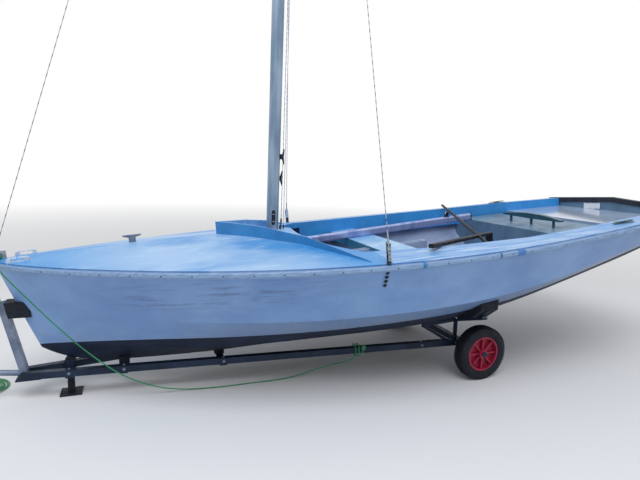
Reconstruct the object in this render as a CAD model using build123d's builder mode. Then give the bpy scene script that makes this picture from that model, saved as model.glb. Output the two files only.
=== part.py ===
"""Double-chine sailing dinghy standing on its two-wheeled launching trolley.

Millimetres, +X towards the bow, +Y to port, +Z up, floor at Z = 0. The boat's own
pieces are drawn upright, with X from the transom and Z from the base line, and are
then set down on the trolley by BOAT, which trims the bow down. The trolley, the mast
and the ropes are drawn where they stand. A distance called aft is measured aft of
the trolley's prop foot, and a negative one lies ahead of it.
"""

import os
from collections import namedtuple
from math import cos, hypot, radians, sin, tan

from build123d import *

os.makedirs("parts", exist_ok=True)

Side = namedtuple("Side", "name sign")
SIDES = (Side("port", 1), Side("starboard", -1))

# Where the boat stands over the trolley.
MID_AFT = 1800.0
BOW_DOWN = 6.0
TRANSOM_AFT = 4420.0
KEEL_LIFT = 537.0
BOAT = Location((MID_AFT - TRANSOM_AFT, 0, KEEL_LIFT), (0, BOW_DOWN, 0))

# Hull sections, each in a plane that leans forward with the stem.
Station = namedtuple(
    "Station", "keel_x sheer_x keel_z low_y low_z up_y up_z sheer_y sheer_z crown"
)
STATIONS = (
    Station(0, 0, 165, 370, 338, 585, 480, 690, 622, 50),
    Station(600, 600, 95, 432, 255, 687, 441, 790, 625, 75),
    Station(1200, 1200, 35, 472, 175, 766, 384, 870, 624, 85),
    Station(1800, 1800, -18, 495, 112, 812, 332, 930, 630, 87),
    Station(2400, 2400, -40, 485, 108, 808, 325, 945, 645, 88),
    Station(3000, 3000, -25, 400, 122, 685, 331, 870, 668, 90),
    Station(3530, 3550, 5, 285, 135, 495, 355, 720, 698, 82),
    Station(3990, 4050, 55, 155, 180, 290, 403, 500, 730, 60),
    Station(4350, 4485, 125, 62, 265, 125, 460, 235, 760, 28),
    Station(4566, 4716, 245, 10, 380, 14, 545, 20, 778, 4),
)
WALL = 12.0
TRANSOM_T = 20.0
STEM_SOLID = 0.45  # share of the last bay that the hollow reaches into
CAVITY_LIFT = 60.0  # the hollow runs on above the deck line, so that it opens it
DECK_T = 8.0

# Cockpit opening in plan, port half, from the transom to the foredeck beam.
OPENING = (
    (20, 560),
    (600, 650),
    (1120, 715),
    (1700, 765),
    (2300, 745),
    (2780, 670),
    (2975, 360),
    (3000, 120),
)
CARLIN_T = 18.0
CARLIN_BOTTOM = 490.0
BEAM_BOTTOM = 645.0
SEAM_X = 2720.0
TALL = 1200.0  # longer than the boat is wide or deep, for cutting forms

# Deck edge.
CAP_X = 32.0
CAP_UP = 14.0
CAP_DOWN = 28.0
CAP_LIP = 6.0
STRAKE_OUT = 22.0
STRAKE_IN = 30.0
STRAKE_H = 33.0
STRAKE_ROUND = 6.0
STRAKE_BEVEL = 12.0
CHAIN_X = 2750.0
CHAIN_W = 25.0
CHAIN_T = 4.0
CHAIN_UP = 115.0
CHAIN_DOWN = 125.0

# Breakwater across the foredeck: aft face in plan, port half, and top edge in profile.
WATER_T = 22.0
WATER_PLAN = ((2800, 850), (3030, 400), (3270, 150), (3470, 0))
WATER_TOP = ((2770, 655), (2800, 668), (3030, 772), (3270, 834), (3470, 863), (3500, 865))
WATER_FOOT = 500.0

# Inside the cockpit.
CASE_FROM = 1950.0
CASE_TO = 3050.0
CASE_W = 60.0
CASE_SLOT = 24.0
CASE_END = 30.0
THWART_FROM = 2200.0
THWART_TO = 2430.0
THWART_TOP = 567.0
THWART_T = 18.0
THWART_LIP = 65.0
BULKHEAD_X = 1120.0
BULKHEAD_T = 12.0
SOLE_TO = 3300.0
SOLE_Z = 80.0
SOLE_T = 12.0
SHELF_TOP = 550.0
SHELF_FROM = 600.0
SHELF_W = 1300.0
STERN_DECK_TOP = 565.0
BEAM_X = 925.0
BEAM_W = 36.0
BEAM_HALF = 310.0
BEAM_TOP = 642.0
BEAM_RISE = 26.0
BEAM_H = 42.0
BEAM_END_H = 12.0
POST_Y = (-230.0, 0.0, 230.0)
POST_R = 11.0

# Bow fittings.
STEMHEAD_X = 4690.0
STEMHEAD_LONG = 70.0
STEMHEAD_T = 8.0
STEMHEAD_FOOT = 760.0
STEMHEAD_TOP = 835.0
FAIRLEAD_X = 4580.0
FAIRLEAD_Y = 105.0
FAIRLEAD_Z = 785.0
FAIRLEAD_LONG = 110.0
FAIRLEAD_H = 42.0
FAIRLEAD_T = 16.0
FAIRLEAD_EYE = 16.0
FAIRLEAD_MOUTH = 10.0
CLEAT_X = 3994.0
CLEAT_TOP = 842.0
CLEAT_LONG = 110.0
CLEAT_HORN = 16.0
CLEAT_NECK = 40.0
CLEAT_FOOT = 760.0
CLEAT_T = 14.0

# Spars and standing rigging.
MAST_AFT = 1231.0
MAST_RAKE = 0.5
MAST_LONG = 78.0
MAST_WIDE = 66.0
MAST_HEEL_Z = 940.0
MAST_LENGTH = 6440.0
LUFF_SLOT = 6.0
LUFF_DEPTH = 10.0
LUFF_LIP = 18.0
HOUNDS_UP = 5060.0
TANG_T = 4.0
TANG_W = 40.0
TANG_OUT = 12.0
STAY_TANG_OUT = 22.0
WIRE_R = 2.0
BOOM_AFT_END = Vector(1215, -430, THWART_TOP)
BOOM_FORE_END = Vector(4010, -265, THWART_TOP)
BOOM_W = 44.0
BOOM_H = 60.0
BOOM_ROUND = 14.0
BOOM_GROOVE = 8.0

# Tiller and rudder fittings.
EXT_R = 11.0
EXT_FAR = Vector(1275, -745, 677)
EXT_NEAR = Vector(1905, 690, 604)
EXT_OVER = 75.0
TILLER_W = 34.0
TILLER_H = 24.0
TILLER_FORE = Vector(2420, 805, 698)
TILLER_AFT = Vector(1560, 260, 588)
TILLER_HEAD = (40.0, 30.0, 60.0)
GUDGEON_Z = (215.0, 480.0)
GUDGEON_REACH = 34.0
GUDGEON_T = 12.0
GUDGEON_R = 12.0
GUDGEON_ARM_W = 20.0
GUDGEON_BORE_R = 5.0
STRAP_T = 4.0
STRAP_W = 40.0
STRAP_OVER = 30.0

# Launching trolley.
AXLE_AFT = 2560.0
AXLE_Z = 185.0
BAR = 40.0
BAR_OVERRUN = 40.0
BAR_HEAD = Vector(-250, 35, 150)  # aft, to port, up
BAR_TAIL = Vector(AXLE_AFT + BAR_OVERRUN, 430, 223)
BEAM_END = 440.0
STUB_R = 12.0
STUB_END = 604.0
WASHER_R = 19.0
WASHER_T = 4.0
Cross = namedtuple("Cross", "aft half_y top")
CROSSES = (
    Cross(0, 85, 137),
    Cross(300, 125, 145),
    Cross(880, 205, 159),
)
CROSS_T = 10.0
CROSS_W = 44.0
HEAD_AFT = -215.0
HEAD_TOP = 131.0
HEAD_PLATE = (130.0, 110.0, 8.0)
ROLLER_R = 30.0
ROLLER_L = 50.0
ROLLER_Z = 203.0
ROLLER_PLAY = 0.3
CHEEK_T = 5.0
CHEEK_OVER = 14.0
PIN_R = 6.0
FOOT_T = 8.0
FOOT_LONG = 120.0
FOOT_WIDE = 110.0
FOOT_LEG = 36.0
BLOCK = (60.0, 70.0, 60.0)
BOW_POST_FOOT = Vector(MID_AFT + 232, 0, HEAD_TOP)
BOW_POST_TOP = Vector(MID_AFT + 332, 0, 585)
BOW_POST_W = 64.0
BOW_POST_D = 36.0
BOW_POST_WALL = 5.0
SNUBBER_W = 96.0
SNUBBER_REACH = 150.0
SNUBBER_FOOT = 500.0
SNUBBER_H = 90.0
DRAW_R = 17.0
DRAW_FROM = Vector(MID_AFT + 215, 0, 150)
HANDLE_AFT = -828.9
HANDLE_Z = 228.0
HANDLE_R = 15.0
HANDLE_W = 480.0

# Cradle over each side bar: section of the arm that follows the bilge, to port and up.
CRADLE_AFT = 2450.0
CRADLE_TUBE = 20.0
ARM_W = 36.0
ARM_T = 16.0
ARM_KNEE = (395.0, 372.0)
ARM_TIP = (700.0, 478.0)
RAIL_FORE_AFT = 2200.0
RAIL_FORE = (380.0, 351.0)
RAIL_AFT_Z = 382.0
BRACE_AFT = 2420.0
PAD_LONG = 130.0
PAD_FROM = 505.0
PAD_BEND = 636.0
PAD_TO = 735.0
BILGE_RISE = 0.8
TIP_PLATE = 4.0

# Wheels.
TYRE_R = 185.0
RIM_R = 118.0
TYRE_W = 96.0
HUB_FROM = 505.0
HUB_TO = 591.0
RIM_W = 80.0
RIM_T = 10.0
WEB_T = 12.0
BOSS_R = 30.0
RIB_COUNT = 8
RIB_T = 9.0
RIB_W = 60.0
AXLE_PLAY = 0.05

# Ropes, as points aft, to port and up.
ROPE_R = 4.0
BEND_SHARE = 0.45
PAINTER = (
    (-330, 4, 846),
    (-330, 45, 846),
    (-327, 92, 845),
    (-312, 128, 813),
    (-272, 151, 760),
    (-212, 166, 690),
    (-145, 178, 611),
    (-72, 187, 523),
    (3, 188, 434),
    (80, 193, 349),
    (160, 196, 270),
    (242, 200, 196),
    (330, 203, 134),
    (420, 198, 84),
    (514, 191, 44),
    (612, 180, 16),
    (712, 183, 6),
    (818, 196, 6),
    (930, 201, 6),
    (1045, 198, 6),
    (1160, 203, 6),
    (1270, 200, 6),
    (1370, 198, 16),
    (1455, 212, 42),
    (1532, 246, 76),
    (1602, 290, 108),
    (1668, 332, 132),
    (1716, 351, 166),
    (1722, 351, 240),
    (1728, 273, 240),
    (1734, 273, 162),
    (1740, 351, 162),
    (1746, 351, 240),
    (1752, 273, 240),
    (1758, 273, 162),
    (1764, 351, 162),
    (1775, 353, 222),
)
BOW_LINE = (
    (-350, 4, 838),
    (-350, 36, 838),
    (-366, 58, 806),
    (-372, 60, 748),
    (-352, 50, 676),
    (-324, 47, 618),
    (-334, 50, 556),
    (-352, 54, 480),
    (-364, 58, 395),
    (-372, 58, 300),
    (-382, 55, 212),
    (-396, 48, 132),
    (-410, 34, 62),
    (-420, 0, 14),
    (-426, -36, 6),
    (-438, -74, 6),
)
COIL_AFT = -500.0
COIL_PORT = -190.0
COIL_R = 150.0
COIL_EYE_R = 78.0
COIL_H = 30.0


def x_of(aft):
    """Row X of a point a distance aft of the prop foot."""
    return MID_AFT - aft


def placed(aft, port, up):
    """Row point from a distance aft, to port and up."""
    return Vector(x_of(aft), port, up)


def station_plane(s):
    """Plane of a hull section: local x to port, local y up the lean."""
    run = s.sheer_x - s.keel_x
    rise = s.sheer_z - s.keel_z
    return Plane(origin=(s.keel_x, 0, s.keel_z), x_dir=(0, 1, 0), z_dir=(rise, 0, -run))


def on_station(s, points):
    """(y, z) pairs in the boat's frame as local points of the section's plane."""
    rise = s.sheer_z - s.keel_z
    slant = hypot(rise, s.sheer_x - s.keel_x) / rise
    return [(y, (z - s.keel_z) * slant) for y, z in points]


def both_sides(half):
    """Closed outline from the port half, whose first and last points are central."""
    return half + [(-y, z) for y, z in reversed(half[1:-1])]


def shell_outline(s, wall, lift):
    """Hull section pulled in by a wall and with its deck line lifted."""
    return both_sides(
        [
            (0, s.keel_z + 1.05 * wall),
            (s.low_y - 0.6 * wall, s.low_z + 0.9 * wall),
            (s.up_y - 1.05 * wall, s.up_z + 0.3 * wall),
            (s.sheer_y - wall, s.sheer_z + lift),
            (0, s.sheer_z + s.crown + lift),
        ]
    )


def between(a, b, share):
    """Station a share of the way from a to b."""
    return Station(*(p + (q - p) * share for p, q in zip(a, b)))


def largest(part):
    """The main solid of a part, without the chips that trimming leaves."""
    return part.solids().sort_by(SortBy.VOLUME)[-1]


# Helper forms, not exported: the outside of the hull, its hollow and the deck layer.
with BuildPart() as hull_form:
    for s in STATIONS:
        with BuildSketch(station_plane(s)):
            with BuildLine():
                Polyline(*on_station(s, shell_outline(s, 0, 0)), close=True)
            make_face()
    loft()

CAVITY_STATIONS = (
    STATIONS[0]._replace(keel_x=TRANSOM_T, sheer_x=TRANSOM_T),
    *STATIONS[1:9],
    between(STATIONS[8], STATIONS[9], STEM_SOLID),
)
with BuildPart() as cavity:
    for s in CAVITY_STATIONS:
        with BuildSketch(station_plane(s)):
            with BuildLine():
                Polyline(*on_station(s, shell_outline(s, WALL, CAVITY_LIFT)), close=True)
            make_face()
    loft()

with BuildPart() as deck_layer:
    add(hull_form.part.moved(Location((0, 0, DECK_T))))
    add(hull_form.part, mode=Mode.SUBTRACT)

hull_world = hull_form.part.moved(BOAT)


def deck_edge(x):
    """Port sheer and upper chine points of the hull form at a boat X."""
    cut = section(hull_form.part, Plane.YZ.offset(x), mode=Mode.PRIVATE)
    sheer = cut.vertices().sort_by(Axis.Y)[-1]
    below = [v for v in cut.vertices() if v.Y > 0 and v.Z < sheer.Z - CHAIN_DOWN]
    chine = max(below, key=lambda v: v.Y)
    return (sheer.Y, sheer.Z), (chine.Y, chine.Z)


# Hull shell.
with BuildPart() as hull:
    add(hull_form.part)
    add(cavity.part, mode=Mode.SUBTRACT)
hull_placed = hull.part.moved(BOAT)
hull_placed.label = "hull"
export_step(hull_placed, "parts/hull.step")


def opening_face(grow):
    """Cockpit opening as a sketch, grown outwards by a carlin's thickness."""
    with BuildSketch() as plan:
        with BuildLine():
            half = list(OPENING)
            Polyline(*half, *[(x, -y) for x, y in reversed(half)], close=True)
        make_face()
        if grow:
            offset(amount=grow, kind=Kind.INTERSECTION)
    return plan.sketch


with BuildPart() as opening:
    with BuildSketch():
        add(opening_face(0))
    extrude(amount=TALL)

with BuildPart() as carlins:
    with BuildSketch(Plane.XY.offset(CARLIN_BOTTOM)):
        add(opening_face(CARLIN_T))
        add(opening_face(0), mode=Mode.SUBTRACT)
    extrude(amount=TALL)
    add(hull_form.part, mode=Mode.INTERSECT)
    add(cavity.part, mode=Mode.INTERSECT)

with BuildPart() as fore_layer:
    add(deck_layer.part)
    with Locations((SEAM_X, 0, 0)):
        Box(3 * TALL, 2 * TALL, TALL, align=(Align.MIN, Align.CENTER, Align.MIN), mode=Mode.INTERSECT)
    add(opening.part, mode=Mode.SUBTRACT)

# Foredeck with its beam over the front of the cockpit.
with BuildPart() as foredeck:
    add(carlins.part)
    with Locations((SEAM_X, 0, BEAM_BOTTOM)):
        Box(TALL, 2 * TALL, TALL, align=(Align.MIN, Align.CENTER, Align.MIN), mode=Mode.INTERSECT)
    add(fore_layer.part)
foredeck_placed = foredeck.part.moved(BOAT)
foredeck_placed.label = "foredeck"
export_step(foredeck_placed, "parts/foredeck.step")

# Side decks, each with the upright carlin that lines the cockpit.
side_decks = {}
for side in SIDES:
    outboard = Align.MIN if side.sign > 0 else Align.MAX
    with BuildPart() as side_deck:
        add(deck_layer.part)
        add(opening.part, mode=Mode.SUBTRACT)
        add(carlins.part)
        with Locations((CAP_X, 0, 0)):
            Box(SEAM_X - CAP_X, TALL, TALL, align=(Align.MIN, outboard, Align.MIN), mode=Mode.INTERSECT)
    side_decks[side.name] = side_deck.part
    side_deck_placed = side_deck.part.moved(BOAT)
    side_deck_placed.label = f"side_deck_{side.name}"
    export_step(side_deck_placed, f"parts/side_deck_{side.name}.step")

# Transom capping.
with BuildPart() as transom_cap:
    first = STATIONS[0]
    with BuildSketch(Plane.YZ.offset(-CAP_LIP)):
        with BuildLine():
            Polyline(
                (STRAKE_IN - first.sheer_y, first.sheer_z - CAP_DOWN),
                (0, first.sheer_z + first.crown - CAP_DOWN),
                (first.sheer_y - STRAKE_IN, first.sheer_z - CAP_DOWN),
                (first.sheer_y, first.sheer_z + CAP_UP),
                (0, first.sheer_z + first.crown + CAP_UP),
                (-first.sheer_y, first.sheer_z + CAP_UP),
                close=True,
            )
        make_face()
    extrude(amount=CAP_X + CAP_LIP)
    add(hull.part, mode=Mode.SUBTRACT)
transom_cap_placed = transom_cap.part.moved(BOAT)
transom_cap_placed.label = "transom_cap"
export_step(transom_cap_placed, "parts/transom_cap.step")

# Rubbing strakes, before the chainplates are let into them.
strakes = {}
for side in SIDES:
    with BuildPart() as strake:
        for s in STATIONS:
            outer = s.sheer_y + STRAKE_OUT
            inner = s.sheer_y - STRAKE_IN
            foot = s.sheer_z - STRAKE_H
            rail = [
                (inner, s.sheer_z),
                (outer - STRAKE_ROUND, s.sheer_z),
                (outer, s.sheer_z - STRAKE_ROUND),
                (outer, foot + STRAKE_BEVEL),
                (outer - STRAKE_BEVEL, foot),
                (inner, foot),
            ]
            with BuildSketch(station_plane(s)):
                with BuildLine():
                    Polyline(*[(side.sign * y, z) for y, z in on_station(s, rail)], close=True)
                make_face()
        loft()
        add(hull_form.part, mode=Mode.SUBTRACT)
        add(deck_layer.part, mode=Mode.SUBTRACT)
        add(transom_cap.part, mode=Mode.SUBTRACT)
    strakes[side.name] = largest(strake.part)

# Chainplates: a strap down each topside, its top standing above the deck edge.
(chain_y, chain_z), (chine_y, chine_z) = deck_edge(CHAIN_X)
flare = (chain_y - chine_y) / (chain_z - chine_z)
chain_foot_y = chain_y - flare * CHAIN_DOWN
chain_tops = {}
chainplates = {}
for side in SIDES:
    with BuildPart() as chainplate:
        with BuildSketch(Plane.YZ.offset(CHAIN_X - CHAIN_W / 2)):
            with BuildLine():
                strap = [
                    (chain_y, chain_z + CHAIN_UP),
                    (chain_y + CHAIN_T, chain_z + CHAIN_UP),
                    (chain_y + CHAIN_T, chain_z),
                    (chain_foot_y + CHAIN_T, chain_z - CHAIN_DOWN),
                    (chain_foot_y - CHAIN_T, chain_z - CHAIN_DOWN),
                    (chain_y - CHAIN_T, chain_z - CHAIN_T),
                    (chain_y, chain_z - CHAIN_T),
                ]
                Polyline(*[(side.sign * y, z) for y, z in strap], close=True)
            make_face()
        extrude(amount=CHAIN_W)
        add(hull_form.part, mode=Mode.SUBTRACT)
        add(deck_layer.part, mode=Mode.SUBTRACT)
    chainplate_placed = chainplate.part.moved(BOAT)
    chainplate_placed.label = f"chainplate_{side.name}"
    export_step(chainplate_placed, f"parts/chainplate_{side.name}.step")
    chainplates[side.name] = chainplate_placed
    chain_tops[side.name] = Vector(
        CHAIN_X, side.sign * (chain_y + CHAIN_T / 2), chain_z + CHAIN_UP
    )
    with BuildPart() as rubbing_strake:
        add(strakes[side.name])
        add(chainplate.part, mode=Mode.SUBTRACT)
    rubbing_strake_placed = rubbing_strake.part.moved(BOAT)
    rubbing_strake_placed.label = f"rubbing_strake_{side.name}"
    export_step(rubbing_strake_placed, f"parts/rubbing_strake_{side.name}.step")

# Breakwater: a V of thin board across the foredeck, its top falling to the ends.
with BuildPart() as breakwater:
    with BuildSketch(Plane.XY.offset(WATER_FOOT)):
        with BuildLine():
            aft_line = list(WATER_PLAN) + [(x, -y) for x, y in reversed(WATER_PLAN[:-1])]
            fore_line = [(x + WATER_T, y) for x, y in aft_line]
            Polyline(*aft_line, *reversed(fore_line), close=True)
        make_face()
    extrude(amount=TALL)
    with BuildSketch(Plane.XZ.offset(-TALL)):
        with BuildLine():
            Polyline(
                *WATER_TOP,
                (WATER_TOP[-1][0], WATER_FOOT),
                (WATER_TOP[0][0], WATER_FOOT),
                close=True,
            )
        make_face()
    extrude(amount=2 * TALL, mode=Mode.INTERSECT)
    add(hull_form.part, mode=Mode.SUBTRACT)
    add(foredeck.part, mode=Mode.SUBTRACT)
breakwater_placed = largest(breakwater.part).moved(BOAT)
breakwater_placed.label = "breakwater"
export_step(breakwater_placed, "parts/breakwater.step")

# Centreboard case, open along its slot.
CASE_MID = (CASE_FROM + CASE_TO) / 2
CASE_LONG = CASE_TO - CASE_FROM
CASE_TOP = THWART_TOP - THWART_T
UP_FROM_BASE = (Align.CENTER, Align.CENTER, Align.MIN)
with BuildPart() as centreboard_case:
    with Locations((CASE_MID, 0, STATIONS[4].keel_z)):
        Box(CASE_LONG, CASE_W, CASE_TOP - STATIONS[4].keel_z, align=UP_FROM_BASE)
        Box(
            CASE_LONG - 2 * CASE_END,
            CASE_SLOT,
            CASE_TOP - STATIONS[4].keel_z,
            align=UP_FROM_BASE,
            mode=Mode.SUBTRACT,
        )
    add(cavity.part, mode=Mode.INTERSECT)
centreboard_case_placed = centreboard_case.part.moved(BOAT)
centreboard_case_placed.label = "centreboard_case"
export_step(centreboard_case_placed, "parts/centreboard_case.step")

# Cockpit sole on each side of the case.
with BuildPart() as sole:
    with Locations((BULKHEAD_X, 0, SOLE_Z)):
        Box(SOLE_TO - BULKHEAD_X, 2 * TALL, SOLE_T, align=(Align.MIN, Align.CENTER, Align.MIN))
    add(cavity.part, mode=Mode.INTERSECT)
    with Locations((CASE_MID, 0, SOLE_Z)):
        Box(CASE_LONG, CASE_W, 4 * SOLE_T, mode=Mode.SUBTRACT)
sole_placed = sole.part.moved(BOAT)
sole_placed.label = "sole"
export_step(sole_placed, "parts/sole.step")

# Thwart with its stiffening lip along the front.
DOWN_AND_AFT = (Align.MAX, Align.CENTER, Align.MAX)
with BuildPart() as thwart:
    with Locations((THWART_TO, 0, THWART_TOP)):
        Box(THWART_TO - THWART_FROM, 2 * TALL, THWART_T, align=DOWN_AND_AFT)
        Box(THWART_T, 2 * TALL, THWART_LIP, align=DOWN_AND_AFT)
    add(opening.part, mode=Mode.INTERSECT)
    add(centreboard_case.part, mode=Mode.SUBTRACT)
thwart_placed = thwart.part.moved(BOAT)
thwart_placed.label = "thwart"
export_step(thwart_placed, "parts/thwart.step")

# Aft bulkhead with the shelf that runs aft from its top.
with BuildPart() as aft_bulkhead:
    with Locations((BULKHEAD_X, 0, CARLIN_BOTTOM)):
        Box(BULKHEAD_T, 2 * TALL, TALL, align=DOWN_AND_AFT)
    add(cavity.part, mode=Mode.INTERSECT)
    with Locations((BULKHEAD_X, 0, SHELF_TOP)):
        Box(BULKHEAD_T, SHELF_W, SHELF_TOP - CARLIN_BOTTOM, align=DOWN_AND_AFT)
        Box(BULKHEAD_X - SHELF_FROM, SHELF_W, BULKHEAD_T, align=DOWN_AND_AFT)
aft_bulkhead_placed = aft_bulkhead.part.moved(BOAT)
aft_bulkhead_placed.label = "aft_bulkhead"
export_step(aft_bulkhead_placed, "parts/aft_bulkhead.step")

# Stern deck between the shelf and the transom.
STERN_DECK_DEPTH = STERN_DECK_TOP - SHELF_TOP + BULKHEAD_T
with BuildPart() as stern_deck:
    with Locations((SHELF_FROM, 0, STERN_DECK_TOP)):
        Box(SHELF_FROM - TRANSOM_T, 2 * TALL, STERN_DECK_DEPTH, align=DOWN_AND_AFT)
    add(opening.part, mode=Mode.INTERSECT)
    add(hull.part, mode=Mode.SUBTRACT)
stern_deck_placed = stern_deck.part.moved(BOAT)
stern_deck_placed.label = "stern_deck"
export_step(stern_deck_placed, "parts/stern_deck.step")

# Mainsheet beam: a bowed bar on three posts.
with BuildPart() as traveller_beam:
    with BuildSketch(Plane.YZ.offset(BEAM_X - BEAM_W / 2)):
        with BuildLine():
            end_top = BEAM_TOP - BEAM_RISE
            end_foot = end_top - BEAM_END_H
            ThreePointArc((-BEAM_HALF, end_top), (0, BEAM_TOP), (BEAM_HALF, end_top))
            Line((BEAM_HALF, end_top), (BEAM_HALF, end_foot))
            ThreePointArc((BEAM_HALF, end_foot), (0, BEAM_TOP - BEAM_H), (-BEAM_HALF, end_foot))
            Line((-BEAM_HALF, end_foot), (-BEAM_HALF, end_top))
        make_face()
    extrude(amount=BEAM_W)
    with Locations([(BEAM_X, y, SHELF_TOP) for y in POST_Y]):
        Cylinder(POST_R, BEAM_TOP - BEAM_H / 2 - SHELF_TOP, align=UP_FROM_BASE)
traveller_beam_placed = traveller_beam.part.moved(BOAT)
traveller_beam_placed.label = "traveller_beam"
export_step(traveller_beam_placed, "parts/traveller_beam.step")

# Stemhead plate.
with BuildPart() as stemhead_fitting:
    with Locations((STEMHEAD_X, 0, STEMHEAD_FOOT)):
        Box(STEMHEAD_LONG, STEMHEAD_T, STEMHEAD_TOP - STEMHEAD_FOOT, align=UP_FROM_BASE)
    add(hull_form.part, mode=Mode.SUBTRACT)
    add(foredeck.part, mode=Mode.SUBTRACT)
stemhead_placed = stemhead_fitting.part.moved(BOAT)
stemhead_placed.label = "stemhead_fitting"
export_step(stemhead_placed, "parts/stemhead_fitting.step")

# Bow fairleads, open at the top.
for side in SIDES:
    with BuildPart() as fairlead:
        with BuildSketch(Plane.XZ.offset(-side.sign * FAIRLEAD_Y - FAIRLEAD_T / 2)):
            with Locations((FAIRLEAD_X, FAIRLEAD_Z)):
                RectangleRounded(FAIRLEAD_LONG, FAIRLEAD_H, FAIRLEAD_H / 3)
            with Locations((FAIRLEAD_X, FAIRLEAD_Z + FAIRLEAD_EYE / 2)):
                SlotOverall(FAIRLEAD_LONG - FAIRLEAD_H, FAIRLEAD_EYE, mode=Mode.SUBTRACT)
                Rectangle(
                    FAIRLEAD_MOUTH,
                    FAIRLEAD_H,
                    align=(Align.CENTER, Align.MIN),
                    mode=Mode.SUBTRACT,
                )
        extrude(amount=FAIRLEAD_T)
        add(hull_form.part, mode=Mode.SUBTRACT)
        add(foredeck.part, mode=Mode.SUBTRACT)
        add(strakes[side.name], mode=Mode.SUBTRACT)
    fairlead_placed = fairlead.part.moved(BOAT)
    fairlead_placed.label = f"bow_fairlead_{side.name}"
    export_step(fairlead_placed, f"parts/bow_fairlead_{side.name}.step")

# Two-horned deck cleat.
with BuildPart() as deck_cleat:
    with BuildSketch(Plane.XZ.offset(-CLEAT_T / 2)):
        with BuildLine():
            tip = CLEAT_LONG / 2
            neck = CLEAT_NECK / 2
            Polyline(
                (CLEAT_X - tip, CLEAT_TOP),
                (CLEAT_X + tip, CLEAT_TOP),
                (CLEAT_X + tip - CLEAT_HORN / 3, CLEAT_TOP - CLEAT_HORN / 2),
                (CLEAT_X + neck, CLEAT_TOP - CLEAT_HORN),
                (CLEAT_X + neck, CLEAT_FOOT),
                (CLEAT_X - neck, CLEAT_FOOT),
                (CLEAT_X - neck, CLEAT_TOP - CLEAT_HORN),
                (CLEAT_X - tip + CLEAT_HORN / 3, CLEAT_TOP - CLEAT_HORN / 2),
                close=True,
            )
        make_face()
    extrude(amount=CLEAT_T)
    add(hull_form.part, mode=Mode.SUBTRACT)
    add(foredeck.part, mode=Mode.SUBTRACT)
deck_cleat_placed = deck_cleat.part.moved(BOAT)
deck_cleat_placed.label = "deck_cleat"
export_step(deck_cleat_placed, "parts/deck_cleat.step")

# Mast: round-nosed section with a luff groove, and tangs at the hounds.
mast_plane = Plane(
    origin=(x_of(MAST_AFT), 0, MAST_HEEL_Z),
    x_dir=(1, 0, 0),
    z_dir=(-sin(radians(MAST_RAKE)), 0, cos(radians(MAST_RAKE))),
)
with BuildPart() as mast:
    with BuildSketch(mast_plane):
        with BuildLine():
            half = MAST_WIDE / 2
            nose_x = MAST_LONG / 2 - half
            tail_x = -MAST_LONG / 2
            lip = LUFF_LIP / 2
            cheek = half - LUFF_LIP / 4
            Line((nose_x, half), (tail_x + cheek / 2, cheek))
            ThreePointArc(
                (tail_x + cheek / 2, cheek),
                (tail_x + cheek / 6, (cheek + lip) / 2),
                (tail_x, lip),
            )
            Line((tail_x, lip), (tail_x, -lip))
            ThreePointArc(
                (tail_x, -lip),
                (tail_x + cheek / 6, -(cheek + lip) / 2),
                (tail_x + cheek / 2, -cheek),
            )
            Line((tail_x + cheek / 2, -cheek), (nose_x, -half))
            ThreePointArc((nose_x, -half), (MAST_LONG / 2, 0), (nose_x, half))
        make_face()
        with Locations((tail_x, 0)):
            Rectangle(2 * LUFF_DEPTH, LUFF_SLOT, mode=Mode.SUBTRACT)
    extrude(amount=MAST_LENGTH)
    add(hull_world, mode=Mode.SUBTRACT)
    add(foredeck_placed, mode=Mode.SUBTRACT)
    hounds = mast_plane.offset(HOUNDS_UP)
    with BuildSketch(hounds):
        Rectangle(TANG_W, MAST_WIDE + 2 * TANG_OUT)
        with Locations((MAST_LONG / 2, 0)):
            Rectangle(2 * STAY_TANG_OUT, TANG_W)
    extrude(amount=TANG_T)
mast.part.label = "mast"
export_step(mast.part, "parts/mast.step")


def wire_between(low, high):
    """Straight wire with square ends."""
    line = high - low
    with BuildPart() as wire:
        with BuildSketch(Plane(origin=low, z_dir=line)):
            Circle(WIRE_R)
        extrude(amount=line.length)
    return wire.part


# Standing rigging: straight wires from the straps and the stem to the hounds.
for side in SIDES:
    low = Vector(*(BOAT * Pos(*chain_tops[side.name])).position)
    tang = Vector(0, side.sign * (MAST_WIDE + TANG_OUT) / 2, HOUNDS_UP)
    with BuildPart() as shroud:
        add(wire_between(low, mast_plane.from_local_coords(tang)))
        add(chainplates[side.name], mode=Mode.SUBTRACT)
        add(mast.part, mode=Mode.SUBTRACT)
    shroud.part.label = f"shroud_{side.name}"
    export_step(shroud.part, f"parts/shroud_{side.name}.step")

stem_top = Vector(*(BOAT * Pos(STEMHEAD_X + STEMHEAD_LONG / 5, 0, STEMHEAD_TOP)).position)
stay_tang = Vector(MAST_LONG / 2 + STAY_TANG_OUT * 0.7, 0, HOUNDS_UP)
with BuildPart() as forestay:
    add(wire_between(stem_top, mast_plane.from_local_coords(stay_tang)))
    add(stemhead_placed, mode=Mode.SUBTRACT)
    add(mast.part, mode=Mode.SUBTRACT)
forestay.part.label = "forestay"
export_step(forestay.part, "parts/forestay.step")

# Boom lying fore and aft in the cockpit, across the thwart.
boom_line = BOOM_FORE_END - BOOM_AFT_END
boom_plane = Plane(origin=BOOM_AFT_END, x_dir=Vector(0, 0, 1).cross(boom_line), z_dir=boom_line)
with BuildPart() as boom:
    with BuildSketch(boom_plane):
        with Locations((0, BOOM_H / 2)):
            RectangleRounded(BOOM_W, BOOM_H, BOOM_ROUND)
        with Locations((0, BOOM_H)):
            Rectangle(BOOM_GROOVE, 2 * BOOM_ROUND, mode=Mode.SUBTRACT)
    extrude(amount=boom_line.length)
boom_placed = boom.part.moved(BOAT)
boom_placed.label = "boom"
export_step(boom_placed, "parts/boom.step")

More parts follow.
